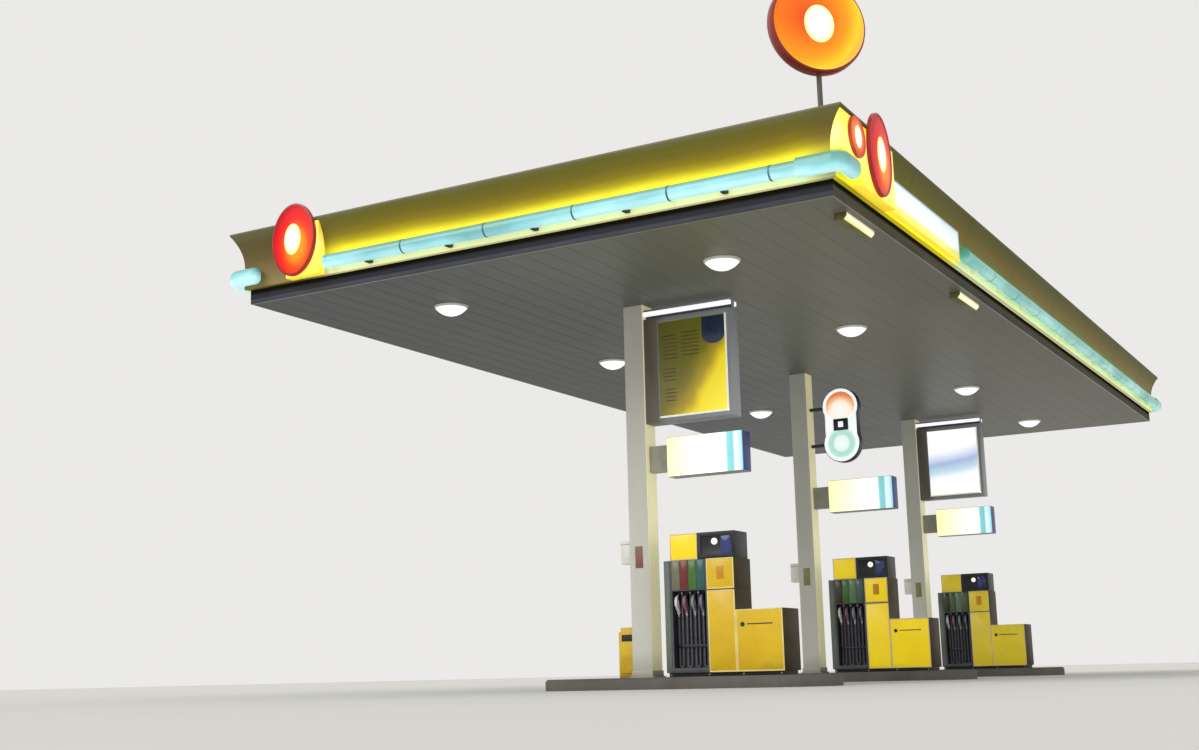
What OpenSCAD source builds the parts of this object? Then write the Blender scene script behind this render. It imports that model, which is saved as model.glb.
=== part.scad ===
// Filling station canopy: a flat roof with a coved fascia on three columns,
// with the islands, dispensers and lit signs that stand and hang under it.
// Millimetres, +Z up, origin on the ground under the middle of the roof.
// +Y runs along the row of columns and +X along the islands.

/* [Roof] */
// Width of the roof across the row of columns, from lip to lip
roof_w = 8750; // [7500:50:12000]
// Length of the roof along the row of columns, from lip to lip
roof_l = 18700; // [17500:50:24000]
// Height of the soffit above the ground
soffit_h = 5200; // [4900:50:6000]
// Thickness of the soffit panel
soffit_t = 60; // [40:5:100]
// Height of the steel beams over the soffit
beam_h = 360; // [250:10:450]
// Width of the flanges of the steel beams
beam_w = 260; // [160:10:320]
// Thickness of the webs and flanges of the steel beams
beam_t = 20; // [12:1:30]
// Height of the ribs of the roof sheet
deck_rib_h = 45; // [25:5:60]
// Distance between the ribs of the roof sheet
deck_pitch = 300; // [200:10:500]
// Thickness of the roof sheet
deck_t = 4; // [2:1:8]

/* [Fascia] */
// Height of the fascia's top edge above the soffit
fascia_h = 950; // [850:10:1200]
// Depth of the fascia behind its lower face
fascia_t = 150; // [80:10:250]
// How far the top lip stands out over the lower face
lip_out = 150; // [100:10:200]
// Height of the flat edge of the lip
lip_h = 20; // [10:5:40]
// Height of the hollow curve under the lip
cove_h = 450; // [350:10:550]
// Height of the dark gap under the fascia
gap_h = 190; // [150:5:200]
// Depth of the dark gap under the fascia
gap_in = 60; // [30:5:100]

/* [Light tube] */
// Diameter of the light tube
tube_d = 180; // [140:5:190]
// Height of the middle of the tube above the soffit
tube_z = 325; // [315:5:330]
// Gap between the tube and the fascia's face
tube_gap = 10; // [8:1:20]
// Height of the taller end piece that turns the corner
cuff_h = 230; // [200:5:240]
// Length of the end piece before the corner
cuff_before = 400; // [250:10:600]
// Length of the end piece past the corner
cuff_past = 500; // [300:10:550]
// Radius of the tube's middle line round the corner
tube_bend_r = 100; // [96:1:105]
// Where the tube starts on a short side, from the corner
tube_from_short = 1650; // [1640:10:2500]
// Where the tube starts on a long side, from the corner
tube_from_long = 4500; // [4480:10:6000]
// Length of the dark collar at the start of the tube
collar_l = 50; // [20:5:100]
// How much the collar is wider than the tube
collar_extra = 12; // [4:2:16]
// Distance between the brackets that carry the tube
bracket_pitch = 1250; // [800:50:2000]
// Width of a tube bracket
bracket_w = 60; // [30:5:100]
// Thickness of a tube bracket
bracket_t = 14; // [8:1:20]

/* [Fascia signs] */
// How far the lit cabinets stand out from the lower face
cabinet_out = 140; // [110:5:145]
// Height of the cabinet's top above the soffit
cabinet_top = 900; // [820:5:905]
// Where a cabinet starts on a short side, from the corner
cabinet_from_short = 1000; // [900:10:1100]
// Where a cabinet ends on a short side, from the corner
cabinet_to_short = 1540; // [1500:10:1620]
// Where a long side's cabinet reaches its full height, from the corner
cabinet_from_long = 620; // [610:10:700]
// Where a cabinet ends on a long side, from the corner
cabinet_to_long = 1700; // [1590:5:1720]
// Where the corner part of a long side's cabinet starts
corner_from = 25; // [15:5:60]
// Height of the corner part's lower edge above the soffit
corner_bottom = 450; // [445:5:480]
// Width of the large oval sign
oval_w = 720; // [640:10:840]
// Height of the large oval sign
oval_h = 980; // [800:10:1100]
// Thickness of the large oval sign
oval_t = 60; // [40:5:120]
// Distance of the large oval sign's middle from the corner
oval_x = 1150; // [1130:5:1160]
// Height of the large oval sign's middle above the soffit
oval_z = 690; // [640:10:760]
// Diameter of the small round sign
ring_d = 470; // [380:10:480]
// Thickness of the small round sign
ring_t = 40; // [25:5:60]
// Distance of the small round sign's middle from the corner
ring_x = 450; // [420:5:460]
// Height of the small round sign's middle above the soffit
ring_z = 690; // [680:5:720]
// Where the blank lit panel starts on a long side, from the corner
panel_from = 1760; // [1730:10:2000]
// Gap between the blank lit panel and the start of the tube
panel_gap = 80; // [20:10:200]
// Height of the blank lit panel's lower edge above the soffit
panel_bottom = 210; // [200:10:260]
// Height of the blank lit panel
panel_h = 410; // [300:10:450]
// How far the blank lit panel stands out from the lower face
panel_out = 80; // [50:5:120]

/* [Roof sign] */
// Diameter of the round sign over the roof
roof_sign_d = 1150; // [900:10:1400]
// Thickness of the round sign over the roof
roof_sign_t = 200; // [120:10:250]
// Height of the round sign's middle above the soffit
roof_sign_z = 2100; // [1900:10:2400]
// Diameter of its mast
mast_d = 60; // [48:2:90]
// Distance of the mast from the roof's long side edge
mast_from_long = 410; // [380:10:900]
// Distance of the mast from the roof's short side edge
mast_from_short = 500; // [380:10:900]
// Width of the mast's foot plate
mast_foot_w = 140; // [120:10:200]

/* [Columns] */
// Distance between the columns
bay = 5900; // [5400:50:6800]
// Width of a column
column_w = 300; // [240:10:360]
// Wall of a column
column_wall = 12; // [8:1:20]
// Radius of a column's corners
column_r = 18; // [10:1:30]
// Clearance between a column and the soffit round it
column_gap = 0.3; // [0.2:0.1:1]
// Width of the small box on each column
box_w = 170; // [120:5:200]
// Depth of the small box on each column
box_d = 160; // [100:10:220]
// Height of the small box on each column
box_h = 310; // [200:10:350]
// Height of the small box's lower edge above the island
box_z = 1510; // [1300:10:1650]

/* [Column signs] */
// Thickness of the poster cases and flag signs
sign_t = 250; // [150:10:260]
// Distance from a column's middle to the far end of a poster case
poster_to = 1460; // [1200:10:1800]
// Distance from the soffit down to the top of a poster case
poster_drop = 80; // [60:10:200]
// Height of a poster case
poster_h = 1590; // [1400:10:1620]
// Width of a poster case's frame beside its picture
poster_frame = 60; // [40:5:90]
// Width of the wider frame next to the column
poster_stile = 210; // [100:10:260]
// Depth of the recess that holds the picture
poster_recess = 15; // [8:1:30]
// Distance from a column's middle to the far end of a flag sign
flag_to = 1570; // [1200:10:1800]
// Length of a flag sign's mounting arm from the column
flag_arm = 300; // [150:10:400]
// Gap between a poster case and the flag sign under it
flag_gap = 215; // [100:5:300]
// Height of a flag sign
flag_h = 535; // [400:5:560]
// Height of a flag sign's mounting arm
flag_arm_h = 360; // [200:10:400]
// Thickness of a flag sign's mounting arm
flag_arm_t = 120; // [60:10:150]
// Diameter of each of the two round faces
badge_d = 640; // [500:10:700]
// Distance between the middles of the two round faces
badge_step = 630; // [520:10:640]
// How far the waist between the two round faces is set in
badge_waist_in = 30; // [10:5:60]
// Thickness of the sign with two round faces
badge_t = 150; // [80:10:200]
// Distance from the column's middle to the round faces' middle
badge_x = 720; // [650:10:900]
// Distance from the soffit down to the upper round face's middle
badge_drop = 630; // [500:10:700]
// Diameter of the arms that carry the round faces
badge_arm_d = 60; // [40:5:80]
// Height of the slot at the top of a poster case that holds its light
slot_h = 110; // [80:5:140]
// Depth of that slot from each face
slot_in = 80; // [50:5:90]
// Width and height of the light in the slot
batten_w = 60; // [40:5:70]
// Thickness of the rail over the slot
rail_h = 20; // [10:5:40]

/* [Islands] */
// Height of an island above the ground
island_h = 150; // [100:10:200]
// Width of an island
island_w = 1200; // [960:20:1600]
// How far an island reaches past its column, away from the dispenser
island_back = 1500; // [1200:20:2500]
// How far an island reaches past its column, on the dispenser's side
island_front = 2700; // [2400:20:3600]
// Width and height of the step round the island's top edge
island_step = 20; // [10:2:30]
// Width of the bin beside the first column
bin_w = 320; // [250:10:400]
// Depth of the bin beside the first column
bin_d = 360; // [250:10:450]
// Height of the bin beside the first column
bin_h = 670; // [550:10:800]
// Radius of the bin's corners
bin_r = 25; // [10:5:60]
// Height of the bin's lid
bin_lid_h = 60; // [30:5:120]
// How far the bin's lid is set in
bin_lid_in = 20; // [5:5:40]
// Gap between the bin and the column
bin_gap = 15; // [5:5:60]
// How far the bin's middle lies behind the column's middle
bin_back = 260; // [0:10:280]

/* [Dispensers] */
// Distance from the column's middle to the bay that holds the nozzles
pump_from = 500; // [400:10:700]
// Width of the plain panel at the dispenser's near end
end_panel_w = 85; // [40:5:120]
// Depth of a dispenser, from one face to the other
pump_d = 500; // [420:10:600]
// Height of the dark base under a dispenser
pump_base_h = 50; // [30:5:80]
// How far the dark base is set back
pump_base_in = 25; // [10:5:40]
// Width of the bay that holds the nozzles
bay_w = 540; // [480:10:700]
// Height of the bay and of the tall cladding, above the island
pump_mid_h = 1500; // [1400:10:1600]
// Width of the tall cladding
tall_w = 390; // [300:10:500]
// Width of the low cladding
low_w = 650; // [450:10:800]
// Height of the low cladding above the island
low_h = 830; // [700:10:1000]
// How far the cladding stands out past the bay's faces
clad_out = 12; // [5:1:20]
// Height of the joint across the tall cladding, above the island
joint_z = 1090; // [1050:10:1250]
// Height of the joint's groove
joint_h = 14; // [8:1:24]
// Depth of the joint's groove
joint_in = 6; // [3:1:10]
// Height of the head and the top box
head_h = 350; // [280:10:420]
// Width of the yellow top box
top_box_w = 400; // [300:10:440]
// Distance of the top box from the dispenser's near end
top_box_in = 75; // [0:5:100]
// Depth of the head and the top box, from one face to the other
head_d = 400; // [300:10:420]
// Depth of the display recess in the head
display_in = 18; // [8:1:30]
// Width of the frame round the display
display_frame = 55; // [35:5:80]
// Depth of the recess for the nozzles and hoses
recess_in = 130; // [110:5:150]
// Width of the bay's side cheeks
cheek_t = 30; // [20:5:45]
// Height of the recess's floor above the island
recess_z = 110; // [90:5:160]
// Height of the solid strip over the recess, where the grade labels are
label_h = 400; // [300:10:450]
// Number of nozzles on each face
nozzle_count = 4; // [2:1:4]
// Diameter of a hose
hose_d = 26; // [20:1:28]
// Distance between the two legs of a hose's loop
hose_legs = 56; // [50:1:58]
// Diameter of the collar at each end of a hose
collar_d = 36; // [30:1:40]
// Height of the collar at each end of a hose
collar_h = 40; // [20:5:60]
// Height of the rail that holds the hoses to the bay's back
hose_rail_h = 40; // [20:5:60]
// Thickness of the rail that holds the hoses
hose_rail_t = 8; // [5:1:12]
// Height of that rail's lower edge over the recess's floor
hose_rail_z = 260; // [150:10:400]
// Thickness of a nozzle's body
nozzle_t = 34; // [28:1:40]
// Height of a nozzle from its hose collar to its top
nozzle_h = 260; // [200:10:280]
// How far a nozzle reaches out from the bay's back
nozzle_out = 105; // [90:1:108]
// Gap between a nozzle's top and the top of the recess
nozzle_gap = 30; // [20:5:60]

/* [Lights] */
// Diameter of a soffit light's trim
light_d = 470; // [460:10:540]
// Height of a soffit light's trim
light_trim_h = 30; // [20:5:45]
// Diameter of a soffit light's lens
lens_d = 420; // [300:10:430]
// How far a soffit light's lens drops under its trim
lens_drop = 100; // [40:5:110]
// Distance of the two rows of soffit lights from the middle
light_x = 2050; // [1700:10:2600]
// Distance of the inner soffit lights from the middle
light_y_inner = 2960; // [2600:10:3200]
// Distance of the outer soffit lights from the middle
light_y_outer = 7475; // [7000:10:8000]
// Length of a light at the soffit's edge
edge_light_l = 900; // [600:10:1100]
// Width of a light at the soffit's edge
edge_light_w = 150; // [100:10:200]
// Height of a light at the soffit's edge
edge_light_h = 80; // [60:10:130]
// Distance of the edge lights from the roof's long edge
edge_light_in = 380; // [320:10:600]
// Distance of the first edge light from the roof's short edge
edge_light_y1 = 1300; // [1000:20:2000]
// Distance of the second edge light from the roof's short edge
edge_light_y2 = 5600; // [5000:20:6500]

/* [Hidden] */

SHORT_SIDES = ["front", "back"];
LONG_SIDES = ["right", "left"];
SIDES = concat(SHORT_SIDES, LONG_SIDES);

$fn = 48;

eps = 1;
fascia_depth = lip_out + fascia_t;
cove_r = (cove_h * cove_h + lip_out * lip_out) / (2 * lip_out);
cove_z = fascia_h - lip_h - cove_h;
tube_y = lip_out - tube_gap - tube_d / 2;
inner_w = roof_w - 2 * fascia_depth;
inner_l = roof_l - 2 * fascia_depth;
deck_z = soffit_h + soffit_t + beam_h;
pump_near = pump_from - end_panel_w;
pump_to = pump_from + bay_w + tall_w + low_w;
poster_bottom = soffit_h - poster_drop - poster_h;
nozzle_pitch = (bay_w - 2 * cheek_t) / nozzle_count;
recess_top = pump_mid_h - label_h;
nozzle_z = recess_top - nozzle_h - nozzle_gap;
recess_back = pump_d / 2 - recess_in;
hose_y = recess_back + collar_d / 2 + column_gap;
// A nozzle's outline and the opening round its lever, seen from the side. Each
// point is a share of its reach from the bay's back, then a share of its height.
NOZZLE_OUTLINE = [
    [0.03, 0.00], [0.35, 0.00], [0.36, 0.12], [0.78, 0.30], [1.00, 0.42], [1.00, 0.68],
    [0.80, 0.84], [0.50, 0.92], [0.00, 1.00], [0.00, 0.88], [0.34, 0.78], [0.36, 0.62],
    [0.22, 0.40], [0.03, 0.18]
];
NOZZLE_OPENING = [[0.44, 0.34], [0.80, 0.46], [0.80, 0.64], [0.56, 0.74]];

function column_y(i) = (i - 2) * bay;
function is_long(side) = side == "right" || side == "left";
function side_turn(side) = side == "front" ? 0 : side == "right" ? 90 : side == "back" ? 180 : 270;
function side_length(side) = is_long(side) ? roof_l : roof_w;
function tube_from(side) = is_long(side) ? tube_from_long : tube_from_short;
function cabinet_from(side) = is_long(side) ? cabinet_from_long : cabinet_from_short;
function cabinet_to(side) = is_long(side) ? cabinet_to_long : cabinet_to_short;
function nozzle_x(k) = pump_from + cheek_t + (k + 0.5) * nozzle_pitch;

// Puts children on one side of the roof. Their X runs along that side from its
// start corner, their Y runs inward from the lip and Z starts at the soffit.
module on_side(side) {
    corner_x = (side == "front" || side == "left" ? -1 : 1) * roof_w / 2;
    corner_y = (side == "front" || side == "right" ? -1 : 1) * roof_l / 2;
    translate([corner_x, corner_y, soffit_h]) rotate([0, 0, side_turn(side)]) children();
}

// Extrudes a section, drawn with Y inward and Z up, along a side from a to b.
module along_side(a, b) {
    translate([a, 0, 0]) rotate([90, 0, 90]) linear_extrude(b - a) children();
}

// A rectangle with round corners.
module round_rect(w, h, r) {
    square([w - 2 * r, h], center = true);
    square([w, h - 2 * r], center = true);
    for (x = [-1, 1], y = [-1, 1]) translate([x * (w / 2 - r), y * (h / 2 - r)]) circle(r);
}

// An oval as a polygon that follows its formula.
module oval(w, h) {
    polygon([for (a = [0:7.5:352.5]) [w / 2 * cos(a), h / 2 * sin(a)]]);
}

// The fascia's section: a flat lower face, a hollow curve and the lip over it.
module fascia_section() {
    difference() {
        polygon([
            [0, cove_z], [0, fascia_h], [fascia_depth, fascia_h], [fascia_depth, soffit_t],
            [lip_out + gap_in, soffit_t], [lip_out + gap_in, gap_h], [lip_out, gap_h], [lip_out, cove_z]
        ]);
        translate([lip_out - cove_r, cove_z]) circle(cove_r, $fn = 96);
        translate([-eps, cove_z - eps]) square([eps, cove_h + eps]);
    }
}

module fascia(side) {
    l = side_length(side);
    color("gold") on_side(side) intersection() {
        along_side(0, l) fascia_section();
        linear_extrude(fascia_h)
            polygon([[0, 0], [l, 0], [l - fascia_depth, fascia_depth], [fascia_depth, fascia_depth]]);
    }
}

module soffit() {
    w = roof_w - 2 * (lip_out + gap_in);
    l = roof_l - 2 * (lip_out + gap_in);
    hole_w = column_w + 2 * column_gap;
    color("whitesmoke") translate([0, 0, soffit_h]) linear_extrude(soffit_t) difference() {
        square([w, l], center = true);
        for (i = [1:3]) translate([0, column_y(i)]) round_rect(hole_w, hole_w, column_r + column_gap);
    }
}

// A beam's section, standing on the soffit.
module beam_section() {
    for (z = [0, beam_h - beam_t]) translate([-beam_w / 2, z]) square([beam_w, beam_t]);
    translate([-beam_t / 2, 0]) square([beam_t, beam_h]);
}

// One spine beam over the columns and pairs of cantilevers beside it.
module roof_frame() {
    outer_y = inner_l / 2 - beam_w / 2;
    color("slategray") translate([0, 0, soffit_h + soffit_t]) {
        translate([0, inner_l / 2, 0]) rotate([90, 0, 0]) linear_extrude(inner_l) beam_section();
        for (y = [-outer_y, -bay, -bay / 2, 0, bay / 2, bay, outer_y])
            translate([-inner_w / 2, y, 0]) rotate([90, 0, 90]) linear_extrude(inner_w) beam_section();
    }
}

// The ribbed roof sheet inside the fascia, with its ribs across the roof.
module roof_deck() {
    ribs = floor(inner_l / deck_pitch);
    start = -ribs * deck_pitch / 2;
    top = [for (k = [0:ribs - 1]) each [
        [start + (k + 0.10) * deck_pitch, 0], [start + (k + 0.25) * deck_pitch, deck_rib_h],
        [start + (k + 0.60) * deck_pitch, deck_rib_h], [start + (k + 0.75) * deck_pitch, 0]
    ]];
    line = concat([[-inner_l / 2, 0]], top, [[inner_l / 2, 0]]);
    n = len(line);
    upper = [for (p = line) [p[0], p[1] + deck_t]];
    lower = [for (k = [n - 1:-1:0]) line[k]];
    color("lightgray") translate([-inner_w / 2, 0, deck_z]) rotate([90, 0, 90])
        linear_extrude(inner_w) polygon(concat(upper, lower));
}

// The taller section of the tube's end piece, round above and below.
module cuff_section() {
    rise = (cuff_h - tube_d) / 2;
    for (s = [-1, 1]) translate([0, s * rise]) circle(tube_d / 2);
    square([tube_d, 2 * rise], center = true);
}

// A light tube along one side, turning the corner onto the next side.
module light_tube(side) {
    l = side_length(side);
    turn = tube_y + tube_bend_r;
    rise = (cuff_h - tube_d) / 2;
    start = l - turn - cuff_before;
    end_y = cuff_past - tube_d / 2;
    color("paleturquoise") on_side(side) translate([0, 0, tube_z]) {
        along_side(tube_from(side), start + eps) translate([tube_y, 0]) circle(tube_d / 2);
        along_side(tube_from(side), tube_from(side) + collar_l)
            translate([tube_y, 0]) circle((tube_d + collar_extra) / 2);
        along_side(start, l - turn) translate([tube_y, 0]) cuff_section();
        translate([l - turn, turn, 0]) rotate([0, 0, -90]) rotate_extrude(angle = 90)
            translate([tube_bend_r, 0]) cuff_section();
        translate([l - tube_y, end_y, 0]) {
            rotate([90, 0, 0]) linear_extrude(end_y - turn) cuff_section();
            for (s = [-1, 1]) translate([0, 0, s * rise]) sphere(tube_d / 2);
            cylinder(h = 2 * rise, d = tube_d, center = true);
        }
    }
}

// One bracket: a foot on the fascia and a saddle under the tube.
module tube_bracket() {
    saddle_d = tube_d + 2 * column_gap;
    difference() {
        union() {
            translate([0, 0, -tube_d / 2 - bracket_t])
                cube([bracket_w, lip_out - tube_y, bracket_t + tube_d / 4]);
            translate([0, lip_out - tube_y - tube_gap, -tube_d / 2 - bracket_t])
                cube([bracket_w, tube_gap, tube_d + 2 * bracket_t]);
        }
        translate([-eps, 0, 0]) rotate([0, 90, 0]) cylinder(h = bracket_w + 2 * eps, d = saddle_d);
    }
}

module tube_brackets() {
    color("dimgray") for (side = SIDES) {
        first = tube_from(side) + bracket_pitch / 2;
        last = side_length(side) - cuff_before - bracket_pitch / 2;
        on_side(side) for (x = [first:bracket_pitch:last]) translate([x, tube_y, tube_z]) tube_bracket();
    }
}

// The lit cabinet's section, cut to the curve of the fascia behind it.
module cabinet_section(bottom) {
    difference() {
        translate([lip_out - cabinet_out, bottom]) square([cabinet_out, cabinet_top - bottom]);
        fascia_section();
    }
}

module sign_cabinets() {
    color("khaki") for (side = SIDES) on_side(side) {
        along_side(cabinet_from(side), cabinet_to(side)) cabinet_section(gap_h);
        if (is_long(side)) along_side(corner_from, cabinet_from(side)) cabinet_section(corner_bottom);
    }
}

// A flat sign that stands on the front of a cabinet, facing out.
module face_out(x, z) {
    translate([x, lip_out - cabinet_out, z]) rotate([90, 0, 0]) children();
}

module oval_signs() {
    bevel = oval_t / 6;
    color("orangered") for (side = SIDES) on_side(side) face_out(oval_x, oval_z) {
        linear_extrude(oval_t - bevel) oval(oval_w, oval_h);
        translate([0, 0, oval_t - bevel]) linear_extrude(bevel) oval(oval_w - 2 * bevel, oval_h - 2 * bevel);
    }
}

module ring_signs() {
    r = ring_d / 2;
    bevel = ring_t / 4;
    color("orange") for (side = LONG_SIDES) on_side(side) face_out(ring_x, ring_z)
        rotate_extrude() polygon([[0, 0], [r, 0], [r, ring_t - bevel], [r - bevel, ring_t], [0, ring_t]]);
}

module blank_panels() {
    color("white") for (side = LONG_SIDES) on_side(side)
        along_side(panel_from, tube_from_long - panel_gap) difference() {
            translate([lip_out - panel_out, panel_bottom]) square([panel_out + lip_out, panel_h]);
            translate([lip_out, 0]) square([fascia_t, fascia_h]);
            fascia_section();
        }
}

mast_x = roof_w / 2 - mast_from_long;
mast_y = -roof_l / 2 + mast_from_short;

// A lit drum turned to look out over the corner, with a rim round each face.
module roof_sign() {
    rim = roof_sign_t / 8;
    r = roof_sign_d / 2;
    half = roof_sign_t / 2;
    color("orange") translate([mast_x, mast_y, soffit_h + roof_sign_z]) rotate([90, 0, 45])
        rotate_extrude($fn = 96) polygon([
            [0, -half], [r - rim, -half], [r, -half + rim], [r, half - rim], [r - rim, half], [0, half]
        ]);
}

module roof_sign_mast() {
    foot = deck_z + deck_rib_h + deck_t;
    top = soffit_h + roof_sign_z - roof_sign_d / 2;
    color("dimgray") translate([mast_x, mast_y, 0]) {
        difference() {
            translate([0, 0, foot]) cylinder(h = top - foot + mast_d / 2, d = mast_d);
            translate([0, 0, soffit_h + roof_sign_z]) rotate([90, 0, 45])
                cylinder(h = roof_sign_t, d = roof_sign_d, center = true, $fn = 96);
        }
        translate([-mast_foot_w / 2, -mast_foot_w / 2, foot]) cube([mast_foot_w, mast_foot_w, beam_t]);
    }
}

module at_soffit_lights() {
    for (x = [-1, 1], y = [-light_y_outer, -light_y_inner, light_y_inner, light_y_outer])
        translate([x * light_x, y, soffit_h]) children();
}

module soffit_light_trims() {
    r = light_d / 2;
    color("white") at_soffit_lights() rotate_extrude() polygon([
        [lens_d / 2, 0], [r, 0], [r - light_trim_h / 2, -light_trim_h], [lens_d / 2, -light_trim_h]
    ]);
}

module soffit_light_lenses() {
    r = lens_d / 2;
    bowl_r = (r * r + lens_drop * lens_drop) / (2 * lens_drop);
    color("ivory") at_soffit_lights() {
        translate([0, 0, -light_trim_h]) cylinder(h = light_trim_h, r = r - column_gap);
        intersection() {
            translate([0, 0, bowl_r - lens_drop - light_trim_h]) sphere(bowl_r, $fn = 96);
            translate([0, 0, -light_trim_h - lens_drop]) cylinder(h = lens_drop, r = r - column_gap);
        }
    }
}

// Box lights under the soffit's edge, with a face that slopes towards the lane.
module edge_lights() {
    color("lightyellow") for (y = [edge_light_y1, edge_light_y2])
        translate([roof_w / 2 - edge_light_in, y - roof_l / 2 + edge_light_l / 2, soffit_h])
            rotate([90, 0, 0]) linear_extrude(edge_light_l) polygon([
                [-edge_light_w / 2, 0], [edge_light_w / 2, 0], [edge_light_w / 2, -edge_light_h / 2],
                [edge_light_w / 4, -edge_light_h], [-edge_light_w / 2, -edge_light_h]
            ]);
}

// A square tube from the island to the underside of the beams.
module column(i) {
    h = soffit_h + soffit_t - island_h;
    color("white") translate([0, column_y(i), island_h]) linear_extrude(h) difference() {
        round_rect(column_w, column_w, column_r);
        square(column_w - 2 * column_wall, center = true);
    }
}

module column_boxes() {
    color("white") for (i = [1:3]) on_island(i)
        translate([-column_w / 2 - box_w, -box_d / 2, box_z]) cube([box_w, box_d, box_h]);
}

// A case beside a column. Each face has a recessed picture and, over it, a slot
// that holds a light.
module poster_case(i) {
    l = poster_to - column_w / 2;
    w = l - poster_stile - poster_frame;
    slot_z = poster_h - rail_h - slot_h;
    picture_h = slot_z - 2 * poster_frame;
    color("silver") translate([column_w / 2, column_y(i), poster_bottom]) difference() {
        translate([0, -sign_t / 2, 0]) cube([l, sign_t, poster_h]);
        for (s = [-1, 1]) translate([poster_stile, s * sign_t / 2 - poster_recess, poster_frame])
            cube([w, 2 * poster_recess, picture_h]);
        for (s = [-1, 1]) translate([-eps, s * sign_t / 2 - slot_in, slot_z])
            cube([l + 2 * eps, 2 * slot_in, slot_h]);
    }
}

// A light against the top of each slot, from one end of the slot to the other.
module poster_lights() {
    l = poster_to - column_w / 2;
    x0 = column_w / 2;
    y0 = (sign_t - slot_in) / 2;
    z0 = poster_bottom + poster_h - rail_h - batten_w;
    color("white") for (i = [1, 3], s = [-1, 1])
        translate([x0, column_y(i) + s * y0 - batten_w / 2, z0]) cube([l, batten_w, batten_w]);
}

// A box sign on a narrower arm that stands on the column's face.
module flag_sign(i) {
    color("lightyellow") translate([0, column_y(i), poster_bottom - flag_gap - flag_h]) {
        translate([column_w / 2, -flag_arm_t / 2, (flag_h - flag_arm_h) / 2])
            cube([flag_arm, flag_arm_t, flag_arm_h]);
        translate([column_w / 2 + flag_arm, -sign_t / 2, 0])
            cube([flag_to - column_w / 2 - flag_arm, sign_t, flag_h]);
    }
}

// Two round faces, one over the other, joined by a slight waist, on two arms.
module badge_sign(i) {
    waist_w = badge_d - 2 * badge_waist_in;
    color("white") translate([0, column_y(i), soffit_h - badge_drop - badge_step]) {
        translate([badge_x, badge_t / 2, 0]) rotate([90, 0, 0]) linear_extrude(badge_t) {
            circle(d = badge_d);
            translate([0, badge_step]) circle(d = badge_d);
            translate([-waist_w / 2, 0]) square([waist_w, badge_step]);
        }
        for (z = [0, badge_step]) translate([column_w / 2, 0, z]) rotate([0, 90, 0])
            cylinder(h = badge_x - column_w / 2 - badge_d / 4, d = badge_arm_d);
    }
}

// The island's outline in plan: a slab with half-round ends.
module island_outline(inset) {
    r = island_w / 2;
    straight = island_back + island_front - island_w;
    translate([r - island_back, inset - r]) square([straight, island_w - 2 * inset]);
    for (x = [r - island_back, island_front - r]) translate([x, 0]) circle(r - inset, $fn = 96);
}

module island(i) {
    color("darkgray") translate([0, column_y(i), 0]) {
        linear_extrude(island_h - island_step) island_outline(0);
        translate([0, 0, island_h - island_step]) linear_extrude(island_step) island_outline(island_step);
    }
}

module island_bin() {
    color("gold") translate([-column_w / 2 - bin_gap - bin_w / 2, column_y(1) + bin_back, island_h]) {
        linear_extrude(bin_h - bin_lid_h) round_rect(bin_w, bin_d, bin_r);
        translate([0, 0, bin_h - bin_lid_h]) linear_extrude(bin_lid_h)
            round_rect(bin_w - 2 * bin_lid_in, bin_d - 2 * bin_lid_in, bin_r);
    }
}

// Places children on an island, at the column's middle.
module on_island(i) {
    translate([0, column_y(i), island_h]) children();
}

// The dark bay: a set-back base and a casing with a plain panel at its near end
// and a recess on both faces.
module dispenser_bay(i) {
    color("dimgray") on_island(i) difference() {
        union() {
            translate([pump_near + pump_base_in, pump_base_in - pump_d / 2, 0])
                cube([pump_to - pump_near - 2 * pump_base_in, pump_d - 2 * pump_base_in, pump_base_h]);
            translate([pump_near, -pump_d / 2, pump_base_h])
                cube([end_panel_w + bay_w, pump_d, pump_mid_h - pump_base_h]);
        }
        for (y = [-pump_d / 2 - eps, recess_back]) translate([pump_from + cheek_t, y, recess_z])
            cube([bay_w - 2 * cheek_t, recess_in + eps, recess_top - recess_z]);
    }
}

// The L-shaped cladding over the base, with a groove across its tall part, and
// the top box over the bay.
module dispenser_cladding(i) {
    x0 = pump_from + bay_w;
    x1 = x0 + tall_w;
    y0 = pump_d / 2 + clad_out;
    color("gold") on_island(i) {
        difference() {
            translate([0, y0, 0]) rotate([90, 0, 0]) linear_extrude(2 * y0) polygon([
                [x0, pump_base_h], [pump_to, pump_base_h], [pump_to, low_h],
                [x1, low_h], [x1, pump_mid_h], [x0, pump_mid_h]
            ]);
            for (s = [-1, 1]) translate([x0 - eps, s * y0 - joint_in, joint_z])
                cube([tall_w + 2 * eps, 2 * joint_in, joint_h]);
        }
        translate([pump_near + top_box_in, -head_d / 2, pump_mid_h]) cube([top_box_w, head_d, head_h]);
    }
}

// The dark head with a display recess on both faces.
module dispenser_head(i) {
    x0 = pump_near + top_box_in + top_box_w;
    w = pump_from + bay_w + tall_w - x0;
    color("black") on_island(i) translate([x0, -head_d / 2, pump_mid_h]) difference() {
        cube([w, head_d, head_h]);
        for (y = [-eps, head_d - display_in]) translate([display_frame, y, display_frame])
            cube([w - 2 * display_frame, display_in + eps, head_h - 2 * display_frame]);
    }
}

// Places children at each nozzle's place in each face of each dispenser. There X
// points out of the bay from its back and Y to one side.
module at_nozzles() {
    for (i = [1:3], turn = [-90, 90], k = [0:nozzle_count - 1]) on_island(i)
        translate([nozzle_x(k), turn / 90 * recess_back, 0]) rotate([0, 0, turn]) children();
}

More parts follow.
